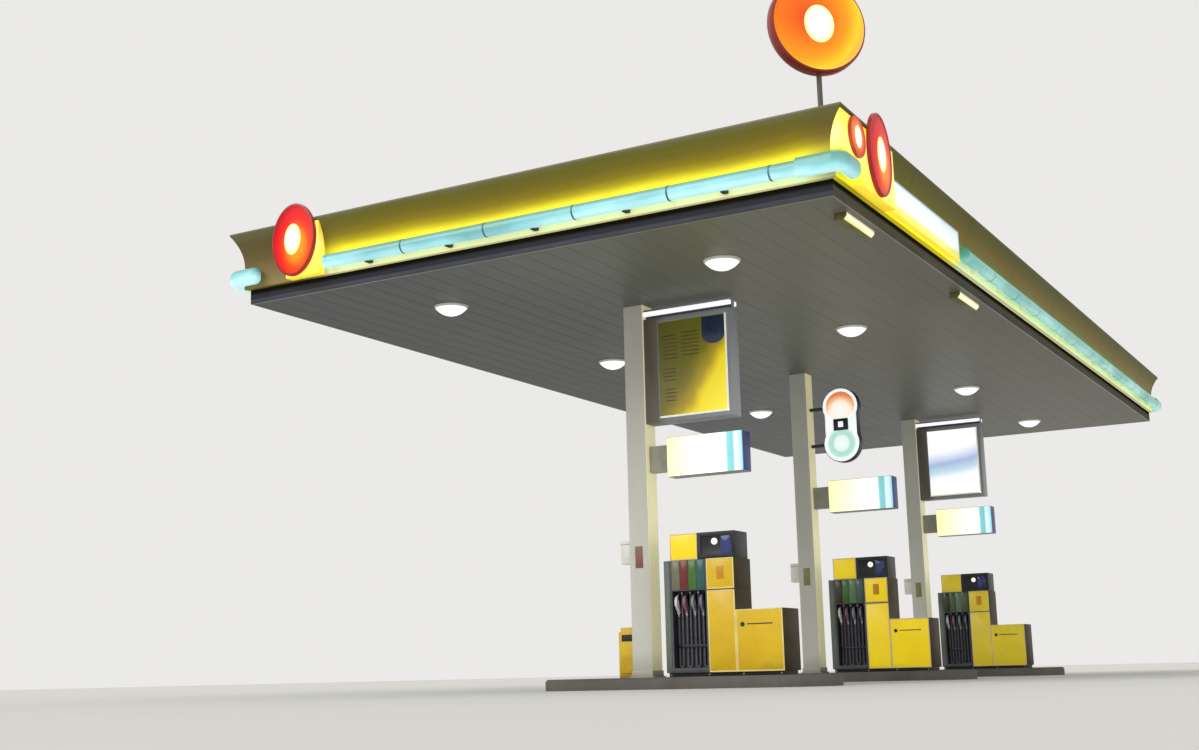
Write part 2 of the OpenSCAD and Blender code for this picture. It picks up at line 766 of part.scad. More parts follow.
module nozzles() {
    size = [nozzle_out, nozzle_h];
    color("darkslategray") at_nozzles() translate([column_gap, -hose_legs / 2, nozzle_z]) rotate([90, 0, 0])
        linear_extrude(nozzle_t, center = true) difference() {
            polygon([for (p = NOZZLE_OUTLINE) [p[0] * size[0], p[1] * size[1]]]);
            polygon([for (p = NOZZLE_OPENING) [p[0] * size[0], p[1] * size[1]]]);
        }
}

// Each hose hangs from its nozzle, turns on the bay's floor and rises beside
// itself to its outlet under the grade labels.
module hoses() {
    bend_r = hose_legs / 2;
    turn_z = recess_z + column_gap + bend_r + hose_d / 2;
    color("black") at_nozzles() translate([hose_y - recess_back, 0, 0]) {
        translate([0, -bend_r, turn_z]) cylinder(h = nozzle_z - turn_z, d = hose_d);
        translate([0, bend_r, turn_z]) cylinder(h = recess_top - turn_z, d = hose_d);
        translate([0, 0, turn_z]) rotate([0, 90, 0]) rotate([0, 0, -90])
            rotate_extrude(angle = 180) translate([bend_r, 0]) circle(d = hose_d);
        translate([0, -bend_r, nozzle_z - collar_h]) cylinder(h = collar_h, d = collar_d);
        translate([0, bend_r, recess_top - collar_h]) cylinder(h = collar_h, d = collar_d);
    }
}

// A rail across each recess that holds the hoses against the bay's back.
module hose_rails() {
    y0 = hose_y + hose_d / 2 + column_gap;
    color("dimgray") for (i = [1:3], s = [-1, 1]) on_island(i)
        translate([pump_from + cheek_t, s * (y0 + hose_rail_t / 2) - hose_rail_t / 2, recess_z + hose_rail_z])
            cube([bay_w - 2 * cheek_t, hose_rail_t, hose_rail_h]);
}

roof_deck();
roof_frame();
soffit();
fascia("front");  // front_fascia
fascia("right");  // right_fascia
fascia("back");  // back_fascia
fascia("left");  // left_fascia
light_tube("front");  // front_light_tube
light_tube("right");  // right_light_tube
light_tube("back");  // back_light_tube
light_tube("left");  // left_light_tube
tube_brackets();
sign_cabinets();
oval_signs();
ring_signs();
blank_panels();
roof_sign();
roof_sign_mast();
soffit_light_trims();
soffit_light_lenses();
edge_lights();
column(1);  // column_1
column(2);  // column_2
column(3);  // column_3
column_boxes();
poster_case(1);  // poster_case_1
poster_case(3);  // poster_case_3
badge_sign(2);  // badge_sign_2
poster_lights();
flag_sign(1);  // flag_sign_1
flag_sign(2);  // flag_sign_2
flag_sign(3);  // flag_sign_3
island(1);  // island_1
island(2);  // island_2
island(3);  // island_3
island_bin();
dispenser_bay(1);  // dispenser_1_bay
dispenser_bay(2);  // dispenser_2_bay
dispenser_bay(3);  // dispenser_3_bay
dispenser_cladding(1);  // dispenser_1_cladding
dispenser_cladding(2);  // dispenser_2_cladding
dispenser_cladding(3);  // dispenser_3_cladding
dispenser_head(1);  // dispenser_1_head
dispenser_head(2);  // dispenser_2_head
dispenser_head(3);  // dispenser_3_head
nozzles();
hoses();
hose_rails();
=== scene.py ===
from math import acos, cos, pi, radians, sin, sqrt

import bmesh
import bpy
from bpy.props import FloatProperty, FloatVectorProperty, IntProperty, PointerProperty
from mathutils import Matrix, Vector


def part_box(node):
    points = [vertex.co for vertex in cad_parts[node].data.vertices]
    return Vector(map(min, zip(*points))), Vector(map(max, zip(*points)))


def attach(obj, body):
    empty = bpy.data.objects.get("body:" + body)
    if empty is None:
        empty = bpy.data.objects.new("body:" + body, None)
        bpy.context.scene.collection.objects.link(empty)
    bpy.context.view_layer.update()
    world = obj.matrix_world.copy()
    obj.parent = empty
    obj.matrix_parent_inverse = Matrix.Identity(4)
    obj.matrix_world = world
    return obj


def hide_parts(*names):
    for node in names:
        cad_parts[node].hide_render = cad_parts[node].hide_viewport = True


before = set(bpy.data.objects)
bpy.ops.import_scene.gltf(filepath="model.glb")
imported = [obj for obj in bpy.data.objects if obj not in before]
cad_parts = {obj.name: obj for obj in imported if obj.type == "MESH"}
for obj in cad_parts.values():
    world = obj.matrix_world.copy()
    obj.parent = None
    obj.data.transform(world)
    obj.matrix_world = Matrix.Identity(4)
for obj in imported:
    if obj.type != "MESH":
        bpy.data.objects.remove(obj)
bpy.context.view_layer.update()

bl_info = {
    "name": "Filling station canopy",
    "version": (1, 0, 0),
    "blender": (4, 5, 0),
    "location": "3D View > Sidebar > Canopy",
    "description": "Dresses the packed filling station canopy with its finishes and small parts",
    "category": "Object",
}

# The roof, its soffit, the columns and the islands' top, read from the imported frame.
ROOF_X, ROOF_Y, ROOF_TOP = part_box("right_fascia")[1]
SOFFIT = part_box("soffit")[0].z
SOFFIT_X, SOFFIT_Y, SOFFIT_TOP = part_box("soffit")[1]
FASCIA_H = ROOF_TOP - SOFFIT
COLUMN_Y = {i: sum(v.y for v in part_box(f"column_{i}")) / 2 for i in (1, 2, 3)}
COLUMN_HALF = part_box("column_1")[1].x
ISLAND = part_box("island_1")[1].z
# How far the fascia's lower face, the lit cabinets' front and the tube's middle line
# are inward from the roof's lip.
FACE_IN, CABINET_IN, TUBE_IN = 0.150, 0.010, 0.050
# Heights over the soffit: the dark gap, the tube, the cove's foot and the signs' middle.
GAP_UP, TUBE_UP, COVE_UP, SIGN_UP = 0.190, 0.325, 0.480, 0.690
# How high the cove rises, and the radius and length of one tube.
COVE_RISE, TUBE_R, TUBE_LENGTH = 0.450, 0.090, 1.250
# The blank panels' ends along a long side, and their foot and head over the soffit.
BLANK = (1.764, 4.416, 0.214, 0.616)
# The step of the roof sheet's ribs, and where in a step a rib's flat top is.
RIB_STEP, RIB_TOP = 0.300, 0.425
# The poster pictures' ends from the column's middle, their foot and head, and how far
# each is from the middle plane of its case.
PICTURE, PICTURE_Y = (0.360, 1.400, 3.590, 4.930), 0.110
# How far a dispenser's parts are from its middle plane: its bay, its tall panels, its
# head, the screens in the head and the nozzles.
BAY_Y, PANEL_Y, HEAD_Y, SCREEN_Y, NOZZLE_Y = 0.250, 0.262, 0.200, 0.182, 0.120
# The four grades of a dispenser: the first one's edge, their width, and how far each
# nozzle hangs to one side of its grade's middle.
GRADE_X, GRADE_STEP, NOZZLE_SHIFT = 0.530, 0.120, 0.028
GRADE_END = GRADE_X + 4 * GRADE_STEP
NOZZLE_X = GRADE_X + GRADE_STEP / 2
# The dispenser bay's floor and top over the island.
BAY_FLOOR, BAY_TOP = 0.110, 1.100
# Edges that turn more than this are drawn sharp, or rounded where a piece is bevelled.
CREASE, ROUNDED = radians(32), radians(30)
# A face looks one way when its normal has more than this share of that way.
FACING = 0.7
# The roof's sides: the corner at the left end of each, seen from outside, and its turn.
TURNS = {"front": (-1, -1, 0), "right": (1, -1, 90), "back": (1, 1, 180), "left": (-1, 1, 270)}
SHORT, LONG = ("front", "back"), ("right", "left")
# Where the light tubes start along each side.
TUBE_FROM = {"front": 1.650, "back": 1.650, "right": 4.500, "left": 4.500}
# Each side of each island, and each nozzle's side with its grade's middle.
ISLAND_SIDES = [(i, s) for i in COLUMN_Y for s in (-1, 1)]
NOZZLES = [(i, s, NOZZLE_X + GRADE_STEP * k) for i, s in ISLAND_SIDES for k in range(4)]


def linear(code):
    """Turns an sRGB hex colour into the linear colour that a node takes."""
    parts = [int(code[i:i + 2], 16) / 255 for i in (0, 2, 4)]
    return [c / 12.92 if c <= 0.04045 else ((c + 0.055) / 1.055) ** 2.4 for c in parts] + [1.0]


class CanopyCamera(bpy.types.PropertyGroup):
    place: FloatVectorProperty(name="Place", description="Where the camera stands",
                               subtype="TRANSLATION", unit="LENGTH", default=(9.579, -23.810, 0.192))
    turn: FloatProperty(name="Turn", description="How far it looks to the left of the roof's long way",
                        subtype="ANGLE", default=radians(29.692))
    lift: FloatProperty(name="Lift", description="How far it looks up",
                        subtype="ANGLE", default=radians(11.347))
    tilt: FloatProperty(name="Tilt", description="How far it leans",
                        subtype="ANGLE", default=radians(-1.350))
    lens: FloatProperty(name="Lens", description="Focal length on a 36 mm wide sensor",
                        subtype="DISTANCE_CAMERA", default=44.953)


class CanopySizes(bpy.types.PropertyGroup):
    sheet_edge: FloatProperty(name="Sheet edge", description="Radius of a folded sheet metal edge",
                              unit="LENGTH", default=0.006)
    edge_bar: FloatProperty(name="Edge bar", description="Width of the bars round the yellow and lit panels",
                            unit="LENGTH", default=0.018)
    planks: IntProperty(name="Planks", description="Soffit planks on each side of the columns",
                        default=13, min=4, max=24)
    groove: FloatProperty(name="Groove", description="Depth of the grooves between the soffit planks",
                          unit="LENGTH", default=0.005)
    soffit_trim: FloatProperty(name="Soffit trim", description="Width of the pale trim round the soffit",
                               unit="LENGTH", default=0.026)
    strap_step: FloatProperty(name="Fascia joints", description="Distance between the fascia's joint covers",
                              unit="LENGTH", default=2.400)


class CanopyColours(bpy.types.PropertyGroup):
    fascia: FloatVectorProperty(name="Fascia", description="Lit band of the fascia over the tube",
                                subtype="COLOR", min=0, max=1, default=linear("ffee18")[:3])
    tube: FloatVectorProperty(name="Tube", description="Lit acrylic tube",
                              subtype="COLOR", min=0, max=1, default=linear("9ad6e0")[:3])
    enamel: FloatVectorProperty(name="Enamel", description="Yellow enamel of the first dispenser",
                                subtype="COLOR", min=0, max=1, default=linear("ecc40e")[:3])
    sign: FloatVectorProperty(name="Sign", description="Red acrylic of the signs",
                              subtype="COLOR", min=0, max=1, default=linear("e3221f")[:3])


def wire(tree, node, inputs):
    """Sets or links each input that a node is given."""
    for name, value in inputs.items():
        if isinstance(value, bpy.types.NodeSocket):
            tree.links.new(value, node.inputs[name])
        else:
            node.inputs[name].default_value = value


def add(tree, kind, inputs=None, out=0, stops=(), **settings):
    """Adds a node with its settings, wires its inputs and returns one output, or the node."""
    node = tree.nodes.new(kind)
    for name, value in settings.items():
        setattr(node, name, value)
    wire(tree, node, inputs or {})
    if stops:
        marks = node.color_ramp.elements
        while len(marks) < len(stops):
            marks.new(0.5)
        for mark, (place, colour) in zip(marks, stops):
            mark.position = place
            mark.color = linear(colour) if isinstance(colour, str) else [*colour, 1.0]
    return node if out is None else node.outputs[out]


def new_finish(name):
    """An empty material, its tree and its Object coordinates."""
    finish = bpy.data.materials.new(name)
    finish.use_nodes = True
    return finish, finish.node_tree, add(finish.node_tree, "ShaderNodeTexCoord", out="Object")


def set_surface(tree, place, tint, rough=0.2, span=0.1, grain=0.01, relief=0.08, glow=0.0, shine=None,
                specular=0.5, metallic=0.0):
    """Gives a finish its colour and glow, and a fine grain in its gloss and relief.

    The grain is in metres, and the span is how much rougher the grain's high points are.
    """
    fine = add(tree, "ShaderNodeTexNoise", {"Vector": place, "Scale": 1 / grain, "Detail": 3.0})
    gloss = add(tree, "ShaderNodeMapRange", {"Value": fine, "To Min": rough, "To Max": rough + span})
    bump = add(tree, "ShaderNodeBump", {"Height": fine, "Strength": relief, "Distance": grain / 4})
    inputs = {"Base Color": tint, "Roughness": gloss, "Normal": bump, "Metallic": metallic,
              "Specular IOR Level": specular}
    if glow:
        inputs.update({"Emission Color": shine or tint, "Emission Strength": glow})
    wire(tree, tree.nodes["Principled BSDF"], inputs)


def set_run(tree, place, value, low, high, stops, glow_stops=(), **surface):
    """Colours a finish by where a value lies from low to high."""
    share = add(tree, "ShaderNodeMapRange", {"Value": value, "From Min": low, "From Max": high})
    tint = add(tree, "ShaderNodeValToRGB", {"Fac": share}, stops=stops)
    if glow_stops:
        surface["shine"] = add(tree, "ShaderNodeValToRGB", {"Fac": share}, stops=glow_stops)
    set_surface(tree, place, tint, **surface)


def coat(name, colour, shade, patch=0.2, rough=0.3, grain=0.01, span=0.15, relief=0.15, stretch=(1, 1, 1),
         spread=0.3, foot=None, **surface):
    """A finish that drifts from colour to shade over patches, with a grain of its own.

    The foot is a colour and a height over the ground below which dirt gathers.
    """
    finish, tree, place = new_finish(name)
    wide = add(tree, "ShaderNodeMapping", {"Vector": place, "Scale": [s / patch for s in stretch]})
    drift = add(tree, "ShaderNodeTexNoise", {"Vector": wide, "Scale": 1.0, "Detail": 5.0, "Roughness": 0.6})
    tint = add(tree, "ShaderNodeValToRGB", {"Fac": drift},
               stops=((0.5 - spread / 2, shade), (0.5 + spread / 2, colour)))
    if foot:
        height = add(tree, "ShaderNodeSeparateXYZ", {"Vector": place}, "Z")
        uneven = add(tree, "ShaderNodeMath", {0: drift, 1: foot[1]}, operation="MULTIPLY")
        uneven = add(tree, "ShaderNodeMath", {0: uneven, 1: ISLAND + 0.01}, operation="MAXIMUM")
        dirt = add(tree, "ShaderNodeMapRange", {
            "Value": height, "From Min": ISLAND, "From Max": uneven, "To Min": 0.7, "To Max": 0.0})
        tint = add(tree, "ShaderNodeMix", {0: dirt, 6: tint, 7: linear(foot[0])}, 2, data_type="RGBA")
    set_surface(tree, place, tint, rough, span, grain, relief, **surface)
    return finish


def along(name, axis, low, high, stops, glow_stops=(), wander=0.0, patch=(1, 1, 1), lean=0.0, **surface):
    """A finish whose colour runs along one axis from low to high, wavering with noise.

    The lean adds some of X to the run, and the glow stops give the colour that shines.
    """
    finish, tree, place = new_finish(name)
    parts = add(tree, "ShaderNodeSeparateXYZ", {"Vector": place}, None).outputs
    run = parts[axis]
    if lean:
        run = add(tree, "ShaderNodeMath", {0: parts["X"], 1: lean, 2: run}, operation="MULTIPLY_ADD")
    wide = add(tree, "ShaderNodeMapping", {"Vector": place, "Scale": patch})
    drift = add(tree, "ShaderNodeTexNoise", {"Vector": wide, "Scale": 1.0, "Detail": 4.0})
    centred = add(tree, "ShaderNodeMath", {0: drift, 1: 0.5}, operation="SUBTRACT")
    run = add(tree, "ShaderNodeMath", {0: centred, 1: wander, 2: run}, operation="MULTIPLY_ADD")
    set_run(tree, place, run, low, high, stops, glow_stops, **surface)
    return finish


def lit_face(name, low, high, stops, glow, lean=(0.0, 0.0), stretch=(1.0, 1.0)):
    """Backlit acrylic whose colour runs outward from a sign's middle, read from its place map."""
    finish, tree, place = new_finish(name)
    local = add(tree, "ShaderNodeAttribute", out="Vector", attribute_name="place")
    flat = add(tree, "ShaderNodeMapping", {"Vector": local, "Scale": (1 / stretch[0], 1 / stretch[1], 0.0)})
    length = add(tree, "ShaderNodeVectorMath", {0: flat}, "Value", operation="LENGTH")
    side = add(tree, "ShaderNodeVectorMath", {0: local, 1: (*lean, 0.0)}, "Value", operation="DOT_PRODUCT")
    total = add(tree, "ShaderNodeMath", {0: length, 1: side})
    set_run(tree, place, total, low, high, stops, rough=0.18, span=0.12, grain=0.03, relief=0.05, glow=glow,
            specular=0.08)
    return finish


class Shape:
    """Points and faces gathered for one piece, each face with the number of its finish."""

    def __init__(self):
        self.points, self.local, self.faces, self.marks = [], [], [], []

    def add(self, form, mark=0, at=Matrix()):
        """Adds a form in its place, with one finish number or one for each face."""
        points, faces = form
        start = len(self.points)
        local = [Vector(p) for p in points]
        self.local += local
        self.points += [at @ p for p in local]
        self.faces += [[start + i for i in face] for face in faces]
        self.marks += mark if isinstance(mark, list) else [mark] * len(faces)


def block(low, high):
    """A box between two corners, given in any order."""
    (x0, x1), (y0, y1), (z0, z1) = (sorted(pair) for pair in zip(low, high))
    points = [(x, y, z) for z in (z0, z1) for y in (y0, y1) for x in (x0, x1)]
    return points, [(0, 2, 3, 1), (4, 5, 7, 6), (0, 1, 5, 4), (2, 6, 7, 3), (0, 4, 6, 2), (1, 3, 7, 5)]


def slab(s, y, proud, x0, x1, z0, z1):
    """A flat panel that stands proud of an upright face, y away on the side s."""
    return block((x0, s * y, z0), (x1, s * (y + proud), z1))


def border(x0, x1, z0, z1, w):
    """The foot, head, left and right bars of a frame of the width w."""
    return ((x0, x1, z0, z0 + w), (x0, x1, z1 - w, z1), (x0, x0 + w, z0 + w, z1 - w),
            (x1 - w, x1, z0 + w, z1 - w))


def bridged(loops, closed=False):
    """Joins loops of equally many points into one skin, with its ends capped unless it is closed."""
    steps = len(loops[0])
    faces = []
    for r in range(len(loops) - (0 if closed else 1)):
        low, high = r * steps, ((r + 1) % len(loops)) * steps
        faces += [(low + k, low + (k + 1) % steps, high + (k + 1) % steps, high + k) for k in range(steps)]
    if not closed:
        last = (len(loops) - 1) * steps
        faces += [tuple(range(steps))[::-1], tuple(range(last, last + steps))]
    return [point for loop in loops for point in loop], faces


def prism(outline, low, high):
    """An outline in the XY plane carried up from low to high."""
    n = len(outline)
    points = [(x, y, z) for z in (low, high) for x, y in outline]
    sides = [(i, (i + 1) % n, n + (i + 1) % n, n + i) for i in range(n)]
    return points, [tuple(range(n))[::-1], tuple(range(n, 2 * n))] + sides


def turned(rings, steps, closed=False):
    """Joins rounds or ovals, each with one or two half widths and a height, into one skin."""
    angles = [2 * pi * k / steps for k in range(steps)]
    return bridged([[(half[0] * cos(t), half[-1] * sin(t), z) for t in angles]
                    for *half, z in rings], closed)


def band_marks(numbers, steps, ends):
    """The finish numbers of a turned form: one for each band, then its two ends."""
    return [number for number in numbers for _ in range(steps)] + list(ends)


def settle(name, mesh, finishes, replaced=()):
    """Makes a mesh one finished piece of the canopy that rides on its only body."""
    for finish in finishes:
        mesh.materials.append(finish)
    mesh.shade_smooth()
    mesh.set_sharp_from_angle(angle=CREASE)
    piece = bpy.data.objects.new(name, mesh)
    bpy.context.scene.collection.objects.link(piece)
    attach(piece, "root")
    if replaced:
        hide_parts(*replaced)


def round_edges(work, radius, mark=-1, segments=2):
    """Rounds the edges of a mesh that turn far enough."""
    edges = [e for e in work.edges if len(e.link_faces) == 2 and e.calc_face_angle(0.0) > ROUNDED]
    bmesh.ops.bevel(work, geom=edges, offset=radius, offset_type="OFFSET", segments=segments, profile=0.5,
                    affect="EDGES", clamp_overlap=True, material=mark)


def write_vectors(mesh, name, vectors):
    """Writes one vector for each point of a mesh."""
    data = mesh.attributes.new(name, "FLOAT_VECTOR", "POINT").data
    data.foreach_set("vector", [c for vector in vectors for c in vector])


def write_place(mesh, at):
    """Writes each point's coordinates in the frame at, for the finishes that read them."""
    back = at.inverted()
    write_vectors(mesh, "place", [back @ vertex.co for vertex in mesh.vertices])


def to_mesh(work, name):
    """Turns a finished bmesh into a mesh."""
    mesh = bpy.data.meshes.new(name)
    work.to_mesh(mesh)
    work.free()
    return mesh


def build(name, shape, finishes, bevel=0.0, replaced=()):
    """Makes a piece from a shape, with its normals outward and its edges rounded."""
    mesh = plain_mesh((shape.points, shape.faces))
    mesh.polygons.foreach_set("material_index", shape.marks)
    write_vectors(mesh, "place", shape.local)
    work = bmesh.new()
    work.from_mesh(mesh)
    bmesh.ops.recalc_face_normals(work, faces=work.faces)
    if bevel:
        round_edges(work, bevel)
    settle(name, to_mesh(work, name), finishes, replaced)


def refine(name, node, finishes, bevel=0.0, rule=None, edge=-1, segments=2, local=None):
    """Stands for a CAD node with its own shape: triangles joined up and edges rounded.

    The rule picks a face's finish from its middle and its normal, and local is the
    frame of its place map.
    """
    work = bmesh.new()
    work.from_mesh(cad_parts[node].data)
    bmesh.ops.remove_doubles(work, verts=work.verts, dist=0.00005)
    bmesh.ops.dissolve_limit(work, angle_limit=radians(0.5), verts=work.verts, edges=work.edges)
    for face in work.faces:
        face.smooth = True
        face.material_index = rule(face.calc_center_median(), face.normal) if rule else 0
    if bevel:
        round_edges(work, bevel, edge, segments)
    mesh = to_mesh(work, name)
    if local:
        write_place(mesh, local)
    settle(name, mesh, finishes, (node,))


def plain_mesh(form, edges=()):
    """A mesh without a piece, such as the item that a tree repeats."""
    mesh = bpy.data.meshes.new("item")
    mesh.from_pydata([tuple(p) for p in form[0]], edges, form[1])
    return mesh


def joined(meshes):
    """Joins meshes of one finish, each with its place, into one mesh."""
    work = bmesh.new()
    for mesh, at in meshes:
        mesh.transform(at)
        work.from_mesh(mesh)
    bmesh.ops.recalc_face_normals(work, faces=work.faces)
    return to_mesh(work, "joined")


def new_tree(name, **sizes):
    """A geometry tree with a mesh in, a mesh out and named inputs for its sizes."""
    tree = bpy.data.node_groups.new(name, "GeometryNodeTree")
    tree.interface.new_socket("Geometry", in_out="OUTPUT", socket_type="NodeSocketGeometry")
    for title, kind in {"Geometry": "Geometry", **sizes, "Finish": "Material"}.items():
        tree.interface.new_socket(title, in_out="INPUT", socket_type="NodeSocket" + kind)
    return tree, add(tree, "NodeGroupInput", out=None).outputs


def close_tree(tree, given, geometry):
    """Ends a tree with real geometry in its finish."""
    real = add(tree, "GeometryNodeRealizeInstances", {"Geometry": geometry})
    done = add(tree, "GeometryNodeSetMaterial", {"Geometry": real, "Material": given["Finish"]})
    add(tree, "NodeGroupOutput", {"Geometry": done}, None)
    return tree


def row_tree():
    """Repeats a mesh in a straight row: planks, joint covers, rings and ruled lines."""
    tree, given = new_tree("row_of_copies", Count="Int", Step="Vector")
    line = add(tree, "GeometryNodeMeshLine", {"Count": given["Count"], "Offset": given["Step"]})
    copies = add(tree, "GeometryNodeInstanceOnPoints", {"Points": line, "Instance": given["Geometry"]})
    return close_tree(tree, given, copies)


def bolt_tree():
    """Puts a bolt's head and washer on each point, looking the way the point faces."""
    tree, given = new_tree("bolts_on_points", Radius="Float", Height="Float")
    radius, height = given["Radius"], given["Height"]
    wide, thin, lift = (add(tree, "ShaderNodeMath", {0: size, 1: times}, operation="MULTIPLY")
                        for size, times in ((radius, 1.6), (height, 0.3), (height, 0.5)))
    head, washer = (add(tree, "GeometryNodeMeshCylinder", {"Vertices": sides, "Radius": r, "Depth": h})
                    for sides, r, h in ((6, radius, height), (20, wide, thin)))
    up = add(tree, "ShaderNodeCombineXYZ", {"Z": lift})
    raised = add(tree, "GeometryNodeTransform", {"Geometry": head, "Translation": up})
    both = add(tree, "GeometryNodeJoinGeometry", {"Geometry": raised})
    tree.links.new(washer, both.node.inputs[0])
    facing = add(tree, "GeometryNodeInputNamedAttribute", {"Name": "facing"}, data_type="FLOAT_VECTOR")
    way = add(tree, "FunctionNodeAlignRotationToVector", {"Vector": facing}, axis="Z")
    copies = add(tree, "GeometryNodeInstanceOnPoints",
                 {"Points": given["Geometry"], "Instance": both, "Rotation": way})
    return close_tree(tree, given, copies)


def hose_tree():
    """Sweeps a round section along a path, for the hoses."""
    tree, given = new_tree("round_along_path", Radius="Float", Sides="Int")
    path = add(tree, "GeometryNodeMeshToCurve", {"Mesh": given["Geometry"]})
    ring = add(tree, "GeometryNodeCurvePrimitiveCircle",
               {"Resolution": given["Sides"], "Radius": given["Radius"]})
    tube = add(tree, "GeometryNodeCurveToMesh", {"Curve": path, "Profile Curve": ring, "Fill Caps": True})
    return close_tree(tree, given, tube)


TREES = {"row_of_copies": row_tree, "bolts_on_points": bolt_tree, "round_along_path": hose_tree}


def grow(tree, base, finish, **sizes):
    """Runs a tree once on a mesh and returns the plain mesh that comes out."""
    holder = bpy.data.objects.new("holder", base)
    bpy.context.scene.collection.objects.link(holder)
    modifier = holder.modifiers.new("grow", "NODES")
    modifier.node_group = bpy.data.node_groups.get(tree) or TREES[tree]()
    sizes["Finish"] = finish
    for socket in modifier.node_group.interface.items_tree:
        if socket.in_out == "INPUT" and socket.name in sizes:
            modifier[socket.identifier] = sizes[socket.name]
    graph = bpy.context.evaluated_depsgraph_get()
    mesh = bpy.data.meshes.new_from_object(holder.evaluated_get(graph), depsgraph=graph)
    bpy.data.objects.remove(holder)
    if not mesh.polygons:
        raise RuntimeError(f"the tree {tree} made no faces")
    return mesh


def bolts(name, points, finish, radius, height):
    """One piece of bolts, from pairs of a place and the way it faces."""
    base = plain_mesh(([p for p, _ in points], []))
    write_vectors(base, "facing", [way for _, way in points])
    mesh = grow("bolts_on_points", base, finish, Radius=radius, Height=height)
    settle(name, joined([(mesh, Matrix())]), [finish])


def move(x, y, z=0.0):
    return Matrix.Translation((x, y, z))


def turn(degrees, axis):
    return Matrix.Rotation(radians(degrees), 4, axis)


def side_frame(side):
    """X along a side from its start corner, Y inward from the lip, Z up from the soffit."""
    sx, sy, degrees = TURNS[side]
    return move(sx * ROOF_X, sy * ROOF_Y, SOFFIT) @ turn(degrees, "Z")


def side_length(side):
    return 2 * (ROOF_X if side in SHORT else ROOF_Y)


def on_cabinet(side, x):
    """The frame of a sign on a cabinet's front: X along, Y up and Z outward."""
    return side_frame(side) @ move(x, CABINET_IN, SIGN_UP) @ turn(90, "X")


def on_island(i):
    """X along an island from its column, Z up from the island's top."""
    return move(0, COLUMN_Y[i], ISLAND)


def across(point):
    """How far a point is from its island's middle plane, less than 0 toward the front."""
    return min((point.y - y for y in COLUMN_Y.values()), key=abs)


class CANOPY_OT_camera(bpy.types.Operator):
    """Sets the camera at the photograph's place and angle"""
    bl_idname = "canopy.camera"
    bl_label = "Camera"

    def execute(self, context):
        view = context.scene.canopy_camera
        data = bpy.data.cameras.new("camera")
        data.lens, data.sensor_width, data.clip_end = view.lens, 36.0, 500.0
        camera = bpy.data.objects.new("camera", data)
        context.scene.collection.objects.link(camera)
        right = Vector((cos(view.turn), sin(view.turn), 0))
        level = Vector((-sin(view.turn), cos(view.turn), 0))
        ahead = level * cos(view.lift) + Vector((0, 0, sin(view.lift)))
        leaning = Matrix.Rotation(-view.tilt, 3, ahead)
        right, up = leaning @ right, leaning @ right.cross(ahead)
        camera.matrix_world = move(*view.place) @ Matrix((right, up, -ahead)).transposed().to_4x4()
        context.scene.camera = camera
        return {"FINISHED"}


class CANOPY_OT_studio(bpy.types.Operator):
    """Lays the plain pale floor and sets the soft studio light"""
    bl_idname = "canopy.studio"
    bl_label = "Studio"

    def execute(self, context):
        scene = context.scene
        scene.view_settings.view_transform = "Standard"
        far = 400
        mesh = plain_mesh(([(-far, -far, 0), (far, -far, 0), (far, far, 0), (-far, far, 0)], [(0, 1, 2, 3)]))
        # Smooth cast floor: pale grey with very faint cloudy patches.
        mesh.materials.append(
            coat("pale_cast_floor", "d9d8d4", "d3d2cd", 6, 0.75, 0.4, span=0.1, relief=0.02, spread=0.6))
        floor = bpy.data.objects.new("floor", mesh)
        scene.collection.objects.link(floor)

        # The world is a little brighter where it is seen than where it lights.
        scene.world = bpy.data.worlds.new("studio")
        scene.world.use_nodes = True
        tree = scene.world.node_tree
        ray = add(tree, "ShaderNodeLightPath", out=None).outputs
        seen = ray["Is Camera Ray"]
        for other in ("Is Glossy Ray", "Is Transmission Ray"):
            seen = add(tree, "ShaderNodeMath", {0: seen, 1: ray[other]}, operation="MAXIMUM")
        strength = add(tree, "ShaderNodeMapRange", {"Value": seen, "To Min": 0.72, "To Max": 0.86})
        wire(tree, tree.nodes["Background"], {"Color": linear("fbfaf8"), "Strength": strength})

        for name, way, power, size in (
                ("key", (0.55, 0.95, -0.75), 1.3, 40), ("fill", (-0.9, 0.35, -0.4), 0.45, 60),
                ("bounce", (-0.2, 0.8, 0.62), 0.55, 90)):
            light = bpy.data.lights.new(name, "SUN")
            light.energy, light.angle = power, radians(size)
            light.use_shadow = name != "bounce"
            lamp = bpy.data.objects.new(name, light)
            lamp.matrix_world = Vector(way).to_track_quat("-Z", "Y").to_matrix().to_4x4()
            scene.collection.objects.link(lamp)
        return {"FINISHED"}


